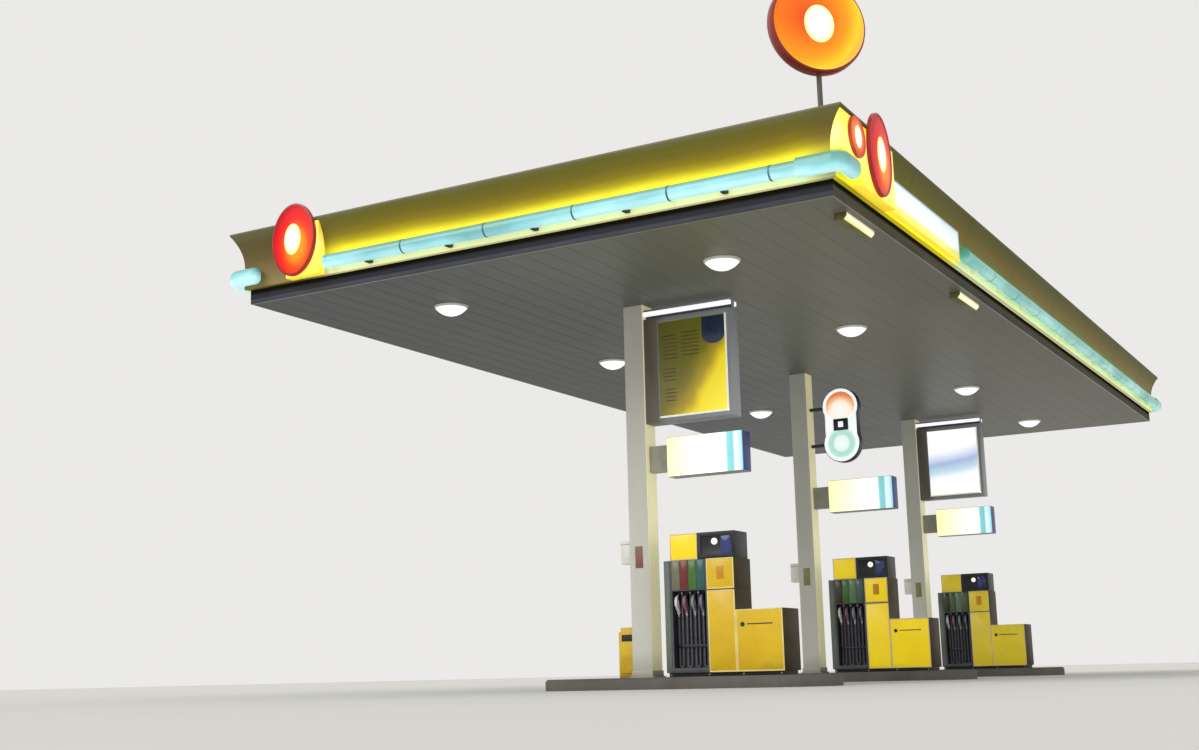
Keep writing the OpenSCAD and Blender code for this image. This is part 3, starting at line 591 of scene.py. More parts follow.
class CANOPY_OT_roof(bpy.types.Operator):
    """Finishes the roof sheet and the steel frame under it"""
    bl_idname = "canopy.roof"
    bl_label = "Roof"

    def execute(self, context):
        # Coil-coated steel sheet: light grey, matt, with long streaks of dried rain.
        sheet = coat("coil_coated_roof_sheet", "a4a6a5", "868884", 1.2, 0.45, 0.05, relief=0.1, spread=0.5,
                     stretch=(0.3, 1, 1))
        refine("roof_sheet", "roof_deck", [sheet])
        # Painted steel beams: flat grey brushed paint, hidden over the soffit.
        paint = coat("painted_beam_steel", "6d7072", "595b5c", 0.5, 0.5, 0.03)
        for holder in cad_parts["roof_frame"].material_slots:
            holder.material = paint
        # Zinc-plated screws: small bright points on the ribs of the sheet.
        zinc = coat("zinc_plated_screw", "b9bcbd", "8f9394", 0.03, 0.25, 0.002, span=0.2, metallic=1.0)
        low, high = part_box("roof_deck")
        screw_step = 1.8
        ribs = int((high.y - low.y) / RIB_STEP)
        first = (low.y + high.y) / 2 + (RIB_TOP - ribs / 2) * RIB_STEP
        spots = [((x, first + k * RIB_STEP, high.z - 0.001), (0, 0, 1))
                 for k in range(0, ribs, 2) for x in (screw_step * n for n in range(-2, 3))]
        bolts("roof_screws", spots, zinc, 0.012, 0.010)
        return {"FINISHED"}


class CANOPY_OT_soffit(bpy.types.Operator):
    """Lays the soffit's planks and the pale trim round them"""
    bl_idname = "canopy.soffit"
    bl_label = "Soffit"

    def execute(self, context):
        sizes = context.scene.canopy_sizes
        # Powder-coated aluminium planks: dull cool grey, darker toward the left with painted shade, and
        # warmer over the dispensers with painted light.
        coated = along(
            "powder_coated_soffit_painted_light", "X", -4.3, 4.3,
            [(0.0, "414648"), (0.35, "4e5354"), (0.65, "65675c"), (0.85, "6f6e62"), (1.0, "67665a")],
            wander=2.6, patch=(0.4, 0.4, 0.4), rough=0.35, span=0.15, specular=0.2)
        end_x, end_y = SOFFIT_X - sizes.soffit_trim, SOFFIT_Y - sizes.soffit_trim
        width = (end_x - COLUMN_HALF) / sizes.planks

        def plank(w, length):
            half, cut = w / 2, sizes.groove
            left = [(-half, SOFFIT_TOP), (-half, SOFFIT + cut), (cut - half, SOFFIT)]
            points, faces = prism(left + [(-x, z) for x, z in left[::-1]], -length / 2, length / 2)
            return plain_mesh(([(x, y, z) for x, z, y in points], faces))

        rows = []
        for s in (-1, 1):
            item, step = plank(width, 2 * end_y), (s * width, 0, 0)
            mesh = grow("row_of_copies", item, coated, Count=sizes.planks, Step=step)
            rows.append((mesh, move(s * (COLUMN_HALF + width / 2), 0)))
        # In the middle row, one plank fills each gap between the columns.
        ends = [-end_y] + [COLUMN_Y[i] + s * COLUMN_HALF for i, s in ISLAND_SIDES] + [end_y]
        for a, b in zip(ends[::2], ends[1::2]):
            mesh = grow("row_of_copies", plank(2 * COLUMN_HALF, b - a), coated, Count=1, Step=(0, 1, 0))
            rows.append((mesh, move(0, (a + b) / 2)))
        settle("soffit_planks", joined(rows), [coated], ("soffit",))

        # Folded aluminium angle: a thin pale line under the soffit's upright edge.
        angle = coat("pale_folded_trim", "8b8b83", "74746c", 0.9)
        # The upright edge is painted sheet, darkened with painted shade: flat brown-grey on the long sides.
        brown = coat("shaded_edge_sheet_long", "58564c", "4a483f", 0.9, 0.8, specular=0.05)
        # The same painted shade on the short sides: dark blue-grey.
        grey = coat("shaded_edge_sheet_short", "3b3c45", "2f3038", 0.9, 0.6)
        trim = Shape()
        for quarter in range(4):
            corners = []
            for x, y in ((SOFFIT_X, SOFFIT_Y), (end_x, end_y)):
                a, b = (y, x) if quarter % 2 else (x, y)
                corners += [(a, -b), (a, b)]
            o1, o2, i1, i2 = corners
            bar, edge = prism([o1, o2, i2, i1], SOFFIT - 0.004, SOFFIT_TOP), 1 + quarter % 2
            trim.add(bar, [0, edge, edge, 0, 0, 0], turn(90 * quarter, "Z"))
        build("soffit_edge_trim", trim, [angle, brown, grey], bevel=0.003)
        return {"FINISHED"}


class CANOPY_OT_fascia(bpy.types.Operator):
    """Finishes the coved fascia as the light tube lights it"""
    bl_idname = "canopy.fascia"
    bl_label = "Fascia"

    def finish(self, name, length, tube_from, dull, bright, dull_shine, shine, drop, gloss):
        """Satin coil-coated aluminium with the tube's light painted on from below, and painted shade at its
        dull ends.
        """
        finish, tree, place = new_finish(name)
        local = add(tree, "ShaderNodeAttribute", out="Vector", attribute_name="place")
        parts = add(tree, "ShaderNodeSeparateXYZ", {"Vector": local}, None).outputs
        wide = add(tree, "ShaderNodeMapping", {"Vector": local, "Scale": (0.45, 1, 1)})
        drift = add(tree, "ShaderNodeTexNoise", {"Vector": wide, "Scale": 1.0, "Detail": 4.0})
        height = add(tree, "ShaderNodeMath", {0: drift, 1: 0.14, 2: parts["Z"]}, operation="MULTIPLY_ADD")
        share = add(tree, "ShaderNodeMapRange",
                    {"Value": height, "From Min": 0.07, "From Max": FASCIA_H + 0.07})
        # The light comes up at the tube's start and fades toward the side's far end.
        ends = []
        for low, high, before, after in ((tube_from - 0.5, tube_from + 0.3, 0.0, 1.0),
                                         (length - 0.65, length - 0.1, 1.0, 0.3)):
            limits = {"From Min": low, "From Max": high, "To Min": before, "To Max": after}
            ends.append(add(tree, "ShaderNodeMapRange", {"Value": parts["X"], **limits},
                            interpolation_type="SMOOTHSTEP"))
        there = add(tree, "ShaderNodeMath", {0: ends[0], 1: ends[1]}, operation="MULTIPLY")
        # The drop over the soffit has its side's colour of painted shade, with a dark painted shadow line at
        # its top.
        lit, line = (
            add(tree, "ShaderNodeMapRange", {"Value": parts["Z"], "From Min": low, "From Max": high})
            for low, high in ((GAP_UP - 0.002, GAP_UP + 0.001), (GAP_UP - 0.085, GAP_UP - 0.045)))
        under = {0: line, 6: linear(drop), 7: linear("1e1b0e")}
        under = add(tree, "ShaderNodeMix", under, 2, data_type="RGBA")
        looks = []
        for below, unlit, tubes in ((under, dull, bright), (linear("000000"), dull_shine, shine)):
            ramps = [add(tree, "ShaderNodeValToRGB", {"Fac": share}, stops=stops) for stops in (unlit, tubes)]
            over = add(tree, "ShaderNodeMix", {0: there, 6: ramps[0], 7: ramps[1]}, 2, data_type="RGBA")
            looks.append(add(tree, "ShaderNodeMix", {0: lit, 6: below, 7: over}, 2, data_type="RGBA"))
        sheen = add(tree, "ShaderNodeMath", {0: lit, 1: gloss}, operation="MULTIPLY")
        set_surface(tree, place, looks[0], 0.3, 0.15, glow=0.45, shine=looks[1], specular=sheen)
        return finish

    def execute(self, context):
        step, lit_band = context.scene.canopy_sizes.strap_step, context.scene.canopy_colours.fascia
        # Over its tube a short side has the tube's light painted on, from pale at the gap through yellow and
        # amber to olive at the lip. It is brown with painted shade where there is no tube, and doesn't shine.
        short = self.finish(
            "coil_coated_fascia_short", side_length("front"), TUBE_FROM["front"],
            [(0.22, "8f7f46"), (0.46, "7c6430"), (0.62, "68592c"), (0.85, "5f562e"), (1.0, "6e6a4c")],
            [(0.34, "f9f6b4"), (0.45, lit_band), (0.53, "f4ea18"), (0.58, "d8c600"), (0.64, "b4a002"),
             (0.71, "93800a"), (0.82, "786c1c"), (0.92, "6c691c"), (1.0, "79755a")],
            [(0.0, "000000"), (1.0, "000000")],
            [(0.30, "d2d1a6"), (0.36, "d6d280"), (0.46, "e0d420"), (0.54, "b8a808"), (0.62, "3c3400"),
             (0.70, "000000")], "3b3c45", 0.25)
        # A long side is a darker copy with painted shade that turns green and olive over its tube,
        # and its foot has painted yellow light under its signs.
        long = self.finish(
            "coil_coated_fascia_long", side_length("right"), TUBE_FROM["right"],
            [(0.13, "7a7014"), (0.21, "ffec38"), (0.33, "ffec38"), (0.46, "7e7820"), (0.62, "6e6a1e"),
             (0.85, "646020"), (1.0, "5c5a34")],
            [(0.34, "f6f8b4"), (0.45, lit_band), (0.50, "aac44c"), (0.54, "84983a"), (0.60, "747a24"),
             (0.66, "726c18"), (0.74, "7c6412"), (0.84, "665f1c"), (0.92, "605c22"), (1.0, "5a5834")],
            [(0.14, "000000"), (0.21, "e8d010"), (0.33, "e8d010"), (0.44, "000000")],
            [(0.30, "d6d8b0"), (0.36, "d6d690"), (0.46, "90a034"), (0.54, "283410"), (0.60, "000000")],
            "58564c", 0.05)
        # The back over the roof deck: plain grey primer.
        primer = coat("grey_primer_coat", "97978c", "83847b", 0.9, 0.5)
        for side in TURNS:
            back = side_frame(side).inverted()
            refine(f"fascia_{side}", f"{side}_fascia", [short if side in SHORT else long, primer],
                   rule=lambda middle, normal: int((back @ middle).y > 2 * FACE_IN - 0.01),
                   local=side_frame(side))

        # The joint covers' section: a thin strap on the cove and the lip.
        lip, half_width = 0.019, 0.010
        radius = (COVE_RISE ** 2 + FACE_IN ** 2) / (2 * FACE_IN)
        rises = [COVE_RISE * k / 8 for k in range(9)]
        outer = [(FACE_IN - radius + sqrt(radius ** 2 - up ** 2), COVE_UP + up) for up in rises]
        outer += [(0.0, FASCIA_H - lip), (0.0, FASCIA_H)]
        section = [(y - 0.0015, z) for y, z in outer] + [(y + 0.004, z) for y, z in reversed(outer)]
        points, faces = prism(section, -half_width, half_width)
        strap = plain_mesh(([(x, y, z) for y, z, x in points], faces))
        for side in TURNS:
            at = side_frame(side)
            finish, start = (short, 1.9) if side in SHORT else (long, 2.6)
            count = int((side_length(side) - start - 0.6) / step) + 1
            row = grow("row_of_copies", strap.copy(), finish, Count=count, Step=(step, 0, 0))
            mesh = joined([(row, at @ move(start, 0))])
            write_place(mesh, at)
            settle(f"fascia_joint_covers_{side}", mesh, [finish])
        return {"FINISHED"}


class CANOPY_OT_light_tubes(bpy.types.Operator):
    """Finishes the light tubes, their joint rings and their brackets"""
    bl_idname = "canopy.light_tubes"
    bl_label = "Light tubes"

    def execute(self, context):
        places, shine_places = (0.0, 0.24, 0.50, 0.76, 1.0), (0.0, 0.28, 0.55, 1.0)
        opal, green = (
            along(name, "Z", SOFFIT + TUBE_UP - TUBE_R, SOFFIT + TUBE_UP + TUBE_R,
                  list(zip(places, tints)), list(zip(shine_places, shines)), wander=0.26, patch=(0.7, 0.7, 2),
                  rough=0.15, span=0.13, glow=0.42)
            for name, tints, shines in (
                # Lit opal acrylic tube: pale blue with brighter stretches, greener on top.
                ("opal_acrylic_tube",
                 ("b4e8ec", context.scene.canopy_colours.tube, "7cbcbe", "72b0a8", "6ca690"),
                 ("c4f4fa", "88c8d0", "4c8488", "2c5048")),
                # The same acrylic on the right side: painted greener and less bright, a shaded copy.
                ("shaded_opal_acrylic_tube", ("9cd0ca", "6cb2b0", "54a69e", "4e9a84", "4a906c"),
                 ("a0dcd0", "60aea4", "34736c", "1d4535"))))
        # Turned aluminium ring: a dark grey seam where two tubes meet.
        metal = coat("anodised_joint_ring", "5d7f88", "44626b")
        # The same ring on the long sides, washed out by the tube's light.
        faint = coat("faint_joint_ring", "6cae9c", "5c9c8a", glow=0.15)
        # Painted steel strip: matt dark brown.
        bracket = coat("painted_bracket_steel", "3a3420", "262214", rough=0.5)
        # The same strip on the long sides: pale with painted light and a glow, close to the lamps.
        pale = coat("lamp_lit_bracket_steel", "e2e6b4", "ccd0a0", rough=0.5, glow=0.4)
        section = ((0.0005, -0.012), (0.003, -0.009), (0.003, 0.009), (0.0005, 0.012), (-0.004, 0.012),
                   (-0.004, -0.012))
        points, faces = turned([(TUBE_R + out, x) for out, x in section], 40, closed=True)
        ring = plain_mesh(([(z, y, x) for x, y, z in points], faces))
        rows = []
        for side in TURNS:
            refine(f"light_tube_{side}", f"{side}_light_tube", [green if side == "right" else opal])
            first = TUBE_FROM[side] + TUBE_LENGTH
            count = int((side_length(side) - 0.7 - first) / TUBE_LENGTH) + 1
            mesh = grow("row_of_copies", ring.copy(), metal, Count=count, Step=(TUBE_LENGTH, 0, 0))
            rows.append((mesh, side_frame(side) @ move(first, TUBE_IN, TUBE_UP)))

        def side_rule(middle, normal):
            """The long sides, away from the corners, have the second finish."""
            return int(abs(middle.x) > ROOF_X - 0.35 and abs(middle.y) < ROOF_Y - 0.6)

        rings = joined(rows)
        for face in rings.polygons:
            face.material_index = side_rule(face.center, face.normal)
        settle("tube_joint_rings", rings, [metal, faint])
        refine("tube_saddles", "tube_brackets", [bracket, pale], bevel=0.002, rule=side_rule)
        return {"FINISHED"}


class CANOPY_OT_cabinets(bpy.types.Operator):
    """Finishes the lit cabinets and the blank lit panels beside them"""
    bl_idname = "canopy.cabinets"
    bl_label = "Lit cabinets"

    def execute(self, context):
        edge_radius = context.scene.canopy_sizes.sheet_edge
        # Backlit yellow acrylic: brighter low down where the lamps are.
        face = along(
            "backlit_yellow_acrylic", "Z", SOFFIT + 0.1, SOFFIT + 0.9,
            [(0.0, "ffdc24"), (0.3, "fff25a"), (0.65, "fff27c"), (1.0, "f2d820")],
            wander=0.25, patch=(1.2, 1.2, 1.2), glow=0.5)
        # Folded aluminium return: a dull gold edge round the acrylic.
        edge = coat("gold_folded_edge", "c39a1a", "9a7816", 0.3, 0.35)
        refine("sign_cabinet_faces", "sign_cabinets", [face, edge], bevel=edge_radius,
               rule=lambda middle, normal: int(normal.z > FACING))
        # Backlit white acrylic: cold white with a faint blue drift, and yellow light low down.
        white = along(
            "backlit_white_acrylic", "Z", SOFFIT + BLANK[2], SOFFIT + BLANK[3],
            [(0.0, "fff04c"), (0.22, "fff27c"), (0.34, "f6fcff"), (0.7, "eefaff"), (1.0, "d8eef6")],
            wander=0.06, patch=(1.8, 1.8, 1.8), glow=0.35)
        refine("blank_panel_faces", "blank_panels", [white, face], bevel=edge_radius,
               rule=lambda middle, normal: int(abs(normal.z) > FACING))
        # Powder-coated frame round each blank panel: thin and pale, with a yellow bar at the foot.
        metal = coat("white_powder_coated_frame", "cfdce0", "aebfc6", 0.3)
        frames = Shape()
        for side in LONG:
            for k, (a, b, low, high) in enumerate(border(*BLANK, context.scene.canopy_sizes.edge_bar)):
                bar = block((a, FACE_IN - 0.080, low), (b, FACE_IN - 0.086, high))
                frames.add(bar, int(k == 0), side_frame(side))
        build("blank_panel_frames", frames, [metal, face], bevel=0.002)
        return {"FINISHED"}


class CANOPY_OT_signs(bpy.types.Operator):
    """Builds the oval and round signs on the cabinets"""
    bl_idname = "canopy.signs"
    bl_label = "Cabinet signs"

    def execute(self, context):
        a, b, r = 0.360, 0.490, 0.235
        # Vacuum-formed red acrylic: the lamps behind make it orange low on one side.
        red = context.scene.canopy_colours.sign
        face = lit_face(
            "vacuum_formed_red_acrylic", 0.30, 1.25,
            [(0.0, "ff9424"), (0.22, "ee4a1a"), (0.45, red), (0.8, "cf161e"), (1.0, "b41019")],
            0.28, (-0.8, 0.7), (a, b))
        # Its moulded rim: the same red, hardly lit.
        rim = coat("red_moulded_rim", "b3161a", "8f1016", rough=0.25, glow=0.12)
        # Opal acrylic lens in the middle: almost white, warmer at its edge.
        lens = lit_face(
            "opal_acrylic_middle", 0.0, 1.0, [(0.0, "ffffff"), (0.6, "fffbe0"), (1.0, "ffe98a")],
            0.6, stretch=(0.13, 0.20))
        oval = [(a, b, 0.0), (a, b, 0.038), (a - 0.003, b - 0.003, 0.045), (a - 0.012, b - 0.012, 0.050),
                (a - 0.026, b - 0.028, 0.050), (a - 0.030, b - 0.032, 0.043), (a - 0.050, b - 0.056, 0.045),
                (0.260, 0.370, 0.049), (0.192, 0.284, 0.0515), (0.138, 0.210, 0.053),
                (0.131, 0.201, 0.057), (0.124, 0.193, 0.0585), (0.070, 0.112, 0.0595), (0.020, 0.030, 0.0599)]
        # Vacuum-formed orange acrylic: red at the rim and bright in the middle.
        orange = lit_face(
            "vacuum_formed_orange_acrylic", 0.30, 1.0,
            [(0.0, "ffa032"), (0.45, "f0701c"), (0.8, "dd4416"), (1.0, "b92a12")], 0.4, (0.6, -0.3), (r, r))
        # Its moulded rim: duller orange.
        orange_rim = coat("orange_moulded_rim", "d2571a", "a83c10", rough=0.25, glow=0.15)
        ring = [(r, 0.0), (r, 0.026), (r - 0.004, 0.033), (r - 0.014, 0.036), (r - 0.022, 0.031),
                (0.150, 0.165, 0.033), (0.098, 0.128, 0.034), (0.092, 0.120, 0.0385),
                (0.050, 0.066, 0.0392), (0.012, 0.016, 0.0395)]
        for kind, sides, x, rings, steps, bands, finishes in (
                ("oval", TURNS, 1.150, oval, 72, [1, 1, 1, 1, 1, 0, 0, 0, 0, 2, 2, 2, 2], [face, rim, lens]),
                ("ring", LONG, 0.450, ring, 56, [1, 1, 1, 1, 0, 0, 2, 2, 2], [orange, orange_rim, lens])):
            signs = Shape()
            for side in sides:
                signs.add(turned(rings, steps), band_marks(bands, steps, (1, 2)), on_cabinet(side, x))
            build(f"{kind}_sign_faces", signs, finishes, replaced=(f"{kind}_signs",))
        return {"FINISHED"}


class CANOPY_OT_roof_sign(bpy.types.Operator):
    """Builds the round sign over the roof's corner and finishes its mast"""
    bl_idname = "canopy.roof_sign"
    bl_label = "Roof sign"

    def execute(self, context):
        low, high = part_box("roof_sign")
        middle, r = (low + high) / 2, (high.z - low.z) / 2
        # Vacuum-formed acrylic drum: amber field, redder toward the upper left.
        field = lit_face(
            "vacuum_formed_amber_acrylic", 0.05, 1.42,
            [(0.0, "e0401a"), (0.3, "ec7a20"), (0.6, "f09c20"), (0.85, "fccc30"), (1.0, "f6b04a")],
            0.3, (0.8, -0.5), (r, r))
        # Its moulded rim: dark red.
        rim = coat("red_drum_rim", "8e2418", "6e1a12", 0.3, 0.25, glow=0.1)
        # Opal acrylic lens in the middle: white, a little yellow at its edge.
        lens = lit_face(
            "opal_acrylic_middle_large", 0.0, 1.0, [(0.0, "ffffff"), (0.7, "fffdf0"), (1.0, "fff0a0")],
            0.6, stretch=(0.165, 0.21))
        face = [(r - 0.006, 0.060), (r - 0.012, 0.078), (r - 0.030, 0.086), (r - 0.050, 0.080),
                (r - 0.058, 0.072), (0.430, 0.078), (0.300, 0.320, 0.084), (0.180, 0.225, 0.087),
                (0.172, 0.217, 0.094), (0.160, 0.205, 0.0965), (0.090, 0.115, 0.0985), (0.020, 0.026, 0.0995)]
        rings = [(*half, -z) for *half, z in reversed(face)] + [(r, -0.045), (r, 0.045)] + face
        bands = [1, 1, 0, 0, 0, 0, 0, 2, 2, 2, 2]
        marks = band_marks(bands[::-1] + [1, 1, 1] + bands, 96, (2, 2))
        drum = Shape()
        drum.add(turned(rings, 96), marks, move(*middle) @ turn(45, "Z") @ turn(90, "X"))
        build("roof_sign_drum", drum, [field, rim, lens], replaced=("roof_sign",))
        # Galvanised steel tube under matt paint.
        steel = coat("painted_mast_steel", "5a5747", "47453a", rough=0.4, stretch=(1, 1, 0.3))
        refine("roof_sign_post", "roof_sign_mast", [steel], bevel=0.002)
        plate_z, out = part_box("roof_sign_mast")[0].z + 0.021, 0.052
        spots = [((middle.x + x, middle.y + y, plate_z), (0, 0, 1)) for x in (-out, out) for y in (-out, out)]
        bolts("mast_bolts", spots, bpy.data.materials["zinc_plated_screw"], 0.010, 0.010)
        return {"FINISHED"}


class CANOPY_OT_soffit_lights(bpy.types.Operator):
    """Finishes the round lights in the soffit and the box lights at its edge"""
    bl_idname = "canopy.soffit_lights"
    bl_label = "Soffit lights"

    def execute(self, context):
        # Spun and powder-coated steel ring: satin white.
        white = coat("white_spun_steel", "e6e5de", "cfcdc4", 0.3, grain=0.006)
        refine("soffit_light_rings", "soffit_light_trims", [white], bevel=0.002)
        # Moulded opal polycarbonate bowl: an even white glow.
        bowl = coat("opal_polycarbonate_bowl", "ffffff", "f8f6ff", 0.2, 0.15, 0.004, 0.1, 0.02, glow=0.7)
        refine("soffit_light_bowls", "soffit_light_lenses", [bowl])
        # Ribbed acrylic front of the edge lights: warm white, yellower low down.
        lit = along(
            "ribbed_acrylic_front", "Z", SOFFIT - 0.08, SOFFIT,
            [(0.0, "d9d478"), (0.35, "fffdc8"), (0.7, "fffff0"), (1.0, "f2ecaa")],
            wander=0.06, patch=(3, 1.5, 3), glow=0.5)
        # Painted sheet body: dull olive.
        body = coat("olive_sheet_body", "6f6d3c", "56552e", rough=0.45)
        # Moulded back end: bluish grey.
        end = coat("blue_grey_end_cap", "6c6f92", "4e5178", 0.1, 0.35)

        def rule(middle, normal):
            """The back end has its cap, and what looks along X is lit."""
            return 2 if normal.y > FACING else int(normal.x <= 0.3)

        refine("edge_light_bodies", "edge_lights", [lit, body, end], bevel=0.004, rule=rule)
        return {"FINISHED"}


class CANOPY_OT_columns(bpy.types.Operator):
    """Finishes the columns with their feet, boxes and blank plates"""
    bl_idname = "canopy.columns"
    bl_label = "Columns"

    def execute(self, context):
        tall = {"patch": 0.9, "rough": 0.35, "relief": 0.05, "stretch": (1, 1, 0.25), "spread": 0.4}
        # Powder-coated steel column: satin off-white with grime near the island.
        paint = coat("powder_coated_column", "d0cfc5", "bcbbb0", foot=("96917f", 0.8), **tall)
        # The side toward the dispensers catches their warm light.
        warm = coat("warm_lit_column", "f0ebc0", "ded8a4", foot=("8d8866", 1.0), glow=0.3, **tall)
        # Painted steel box: satin white, with its lid's shadow line.
        white = coat("white_box_paint", "f2f1e8", "e2e1d6", rough=0.35)
        # Extruded rubber seal: flat black.
        rubber = coat("black_rubber_seal", "2b2a26", "1e1d1a", 0.1, 0.6, 0.004)
        # Turned stainless steel: a small cool glint.
        steel = coat("stainless_fitting", "a9aaa6", "7f817f", 0.05, 0.25, 0.003, metallic=1.0)
        # Blank enamelled plates: dull olive, and red-brown on the first column.
        olive = coat("olive_enamel_plate", "8e8c58", "7b7a4a", 0.1, 0.35, 0.005)
        brown = coat("brown_enamel_plate", "93604e", "7d5142", 0.1, 0.35, 0.005)
        feet, seals, plates, locks, spots = Shape(), Shape(), Shape(), Shape(), []
        half, bolt_at = COLUMN_HALF, COLUMN_HALF + 0.019
        # The box on each column: its half width, its front and its lid's seam.
        box_half, box_x, lid_z = 0.080, -COLUMN_HALF - 0.170, (1.770, 1.775)
        # A plate's ends, foot and head, and how far the bolts are from the column's middle.
        plate, bolt_out = (-0.060, 0.055, 1.440, 1.730), 0.110
        for i in COLUMN_Y:
            refine(f"column_casing_{i}", f"column_{i}", [paint, warm],
                   rule=lambda middle, normal: int(normal.x > FACING))
            at = on_island(i)
            for s in (-1, 1):
                # A base plate and a low skirt round the column's foot.
                for out, z0, z1 in ((0.030, 0, 0.016), (0.008, 0.016, 0.090)):
                    feet.add(slab(s, half, out, -half - out, half + out, z0, z1), at=at)
                    feet.add(block((s * half, -half, z0), (s * (half + out), half, z1)), at=at)
                plates.add(slab(s, half, 0.004, *plate), int(i == 1), at)
                seals.add(slab(s, box_half, 0.0012, box_x, -half, *lid_z), at=at)
                for t in (-bolt_out, bolt_out):
                    for x, y in ((t, s * bolt_at), (s * bolt_at, t)):
                        spots.append((at @ Vector((x, y, 0.015)), (0, 0, 1)))
            seals.add(block((box_x - 0.0012, -box_half, lid_z[0]), (box_x, box_half, lid_z[1])), at=at)
            locks.add(turned([(0.016, 0), (0.016, 0.004), (0.012, 0.006), (0.010, 0.004)], 24),
                      at=at @ move(box_x, 0, 1.640) @ turn(-90, "Y"))
        refine("column_box_cases", "column_boxes", [white],
               bevel=context.scene.canopy_sizes.sheet_edge)
        build("column_feet", feet, [paint], bevel=0.003)
        build("column_box_seals", seals, [rubber])
        build("column_plates", plates, [olive, brown], bevel=0.0015)
        build("column_box_locks", locks, [steel])
        bolts("column_bolts", spots, bpy.data.materials["zinc_plated_screw"], 0.009, 0.010)
        return {"FINISHED"}


class CANOPY_OT_posters(bpy.types.Operator):
    """Finishes the poster cases with their pictures, beads and lights"""
    bl_idname = "canopy.posters"
    bl_label = "Poster cases"

    def execute(self, context):
        # Anodised aluminium case: cool grey, browner in the column's shade.
        case = along(
            "anodised_aluminium_case", "X", 0.15, 1.65,
            [(0.0, "5f584e"), (0.13, "6a645a"), (0.22, "8b8f95"), (0.8, "9b9fa6"), (1.0, "a4a8ae")],
            wander=0.12, patch=(1, 1, 0.5), rough=0.35, span=0.15, grain=0.004)
        # Painted sheet inside the lamps' slot: dark, in shadow.
        slot = coat("dark_slot_sheet", "33343c", "26272e", rough=0.5)
        # Lit white lamp in the slot over each picture.
        lamp = coat("lit_slot_lamp", "ffffff", "eceffc", 0.3, 0.2, span=0.1, relief=0.02, glow=0.8)

        slot_foot, slot_head = 4.95, 5.11

        def rule(middle, normal):
            """The walls of the lamps' slot are dark."""
            inner = abs(across(middle)) < 0.1
            return int(inner and slot_foot < middle.z < slot_head and abs(normal.x) < 0.5)

        for i in (1, 3):
            refine(f"poster_frame_{i}", f"poster_case_{i}", [case, slot],
                   bevel=context.scene.canopy_sizes.sheet_edge, rule=rule)
        refine("poster_lamps", "poster_lights", [lamp], bevel=0.012, segments=3)

        x0, x1, z0, z1 = PICTURE
        # Yellow printed film: plain, lit from its lower right corner.
        yellow = along(
            "backlit_yellow_print", "Z", z1 - 1.4 * x0, z0 - 1.4 * x1,
            [(0.0, "666826"), (0.36, "7c781e"), (0.53, "918414"), (0.63, "bda40e"), (0.71, "f6da10"),
             (1.0, "fff02a")], [(0.48, "141302"), (0.63, "8c7600"), (0.73, "f4e000"), (1.0, "fff060")],
            wander=0.40, patch=(2, 2, 1.5), lean=-1.4, glow=0.4)
        # White printed film: plain, with a soft blue band.
        white = along(
            "backlit_white_print", "Z", z0 - 0.13, z1 - 0.13,
            [(0.0, "ffffff"), (0.27, "f4fbff"), (0.36, "c4dcee"), (0.50, "a4b8dc"), (0.62, "dfe8f8"),
             (0.72, "ffffff"), (1.0, "ffffff")], wander=0.25, patch=(1.2, 1.2, 1.2), lean=-0.15, glow=0.7)
        # Printed rules and a printed patch: matt brown ink and dark blue ink.
        ink = coat("brown_printed_rule", "5e4a20", "4b3b1a", span=0.1)
        blue = coat("dark_blue_print", "2c4160", "1f2f4a", 0.12, 0.2, span=0.1, spread=0.5)
        # Extruded glazing beads: pale, and bright with a painted glow on the lamp's side.
        bead = coat("pale_glazing_bead", "a9aa9a", "8f9084", 0.3, span=0.1)
        bright = coat("bright_glazing_bead", "fbfbe6", "eceede", 0.3, span=0.1, glow=0.35)
        thin, wide, film, inset = 0.014, 0.026, 0.005, 0.002
        prints, beads, patches, rules = Shape(), Shape(), Shape(), []
        # The patch hangs from a straight top and has a round foot.
        half, patch_top, bend, sag = 0.170, 0.150, -0.100, 0.130
        arc = [radians(a) for a in range(15, 180, 15)]
        patch = ([(-half, patch_top), (-half, bend)] + [(-half * cos(a), bend - sag * sin(a)) for a in arc]
                 + [(half, bend), (half, patch_top)])
        for i, s in ((1, -1), (1, 1), (3, -1), (3, 1)):
            at = move(0, COLUMN_Y[i])
            # Only the side that the first column turns to the front has the yellow picture.
            prints.add(slab(s, PICTURE_Y, film, x0 + inset, x1 - inset, z0 + inset, z1 - inset),
                       int((i, s) != (1, -1)), at)
            for a, b, low, high, mark in ((x0, x1, z0, z0 + wide, 1), (x0, x1, z1 - thin, z1, 0),
                                          (x0, x0 + thin, z0, z1, 0), (x1 - wide, x1, z0, z1, 1)):
                beads.add(slab(s, PICTURE_Y, 0.012, a, b, low, high), mark, at)
        at = move(0, COLUMN_Y[1])
        for s in (-1, 1):
            patches.add(prism([(x, -s * z) for x, z in patch], 0, 0.004),
                        at=at @ move(1.205, s * (PICTURE_Y + film), 4.757) @ turn(-90 * s, "X"))
            for left, top, count, long in ((0.43, 4.72, 7, 0.22), (0.72, 4.74, 7, 0.26),
                                           (0.43, 4.26, 4, 0.20), (0.46, 3.98, 4, 0.16)):
                item = plain_mesh(slab(s, PICTURE_Y + film, 0.002, 0, long, -0.012, 0.0))
                mesh = grow("row_of_copies", item, ink, Count=count, Step=(0, 0, -0.052))
                rules.append((mesh, at @ move(left, 0, top)))
        build("poster_prints", prints, [yellow, white])
        build("poster_beads", beads, [bead, bright], bevel=0.002)
        build("poster_patches", patches, [blue], bevel=0.001)
        settle("poster_rules", joined(rules), [ink])
        return {"FINISHED"}


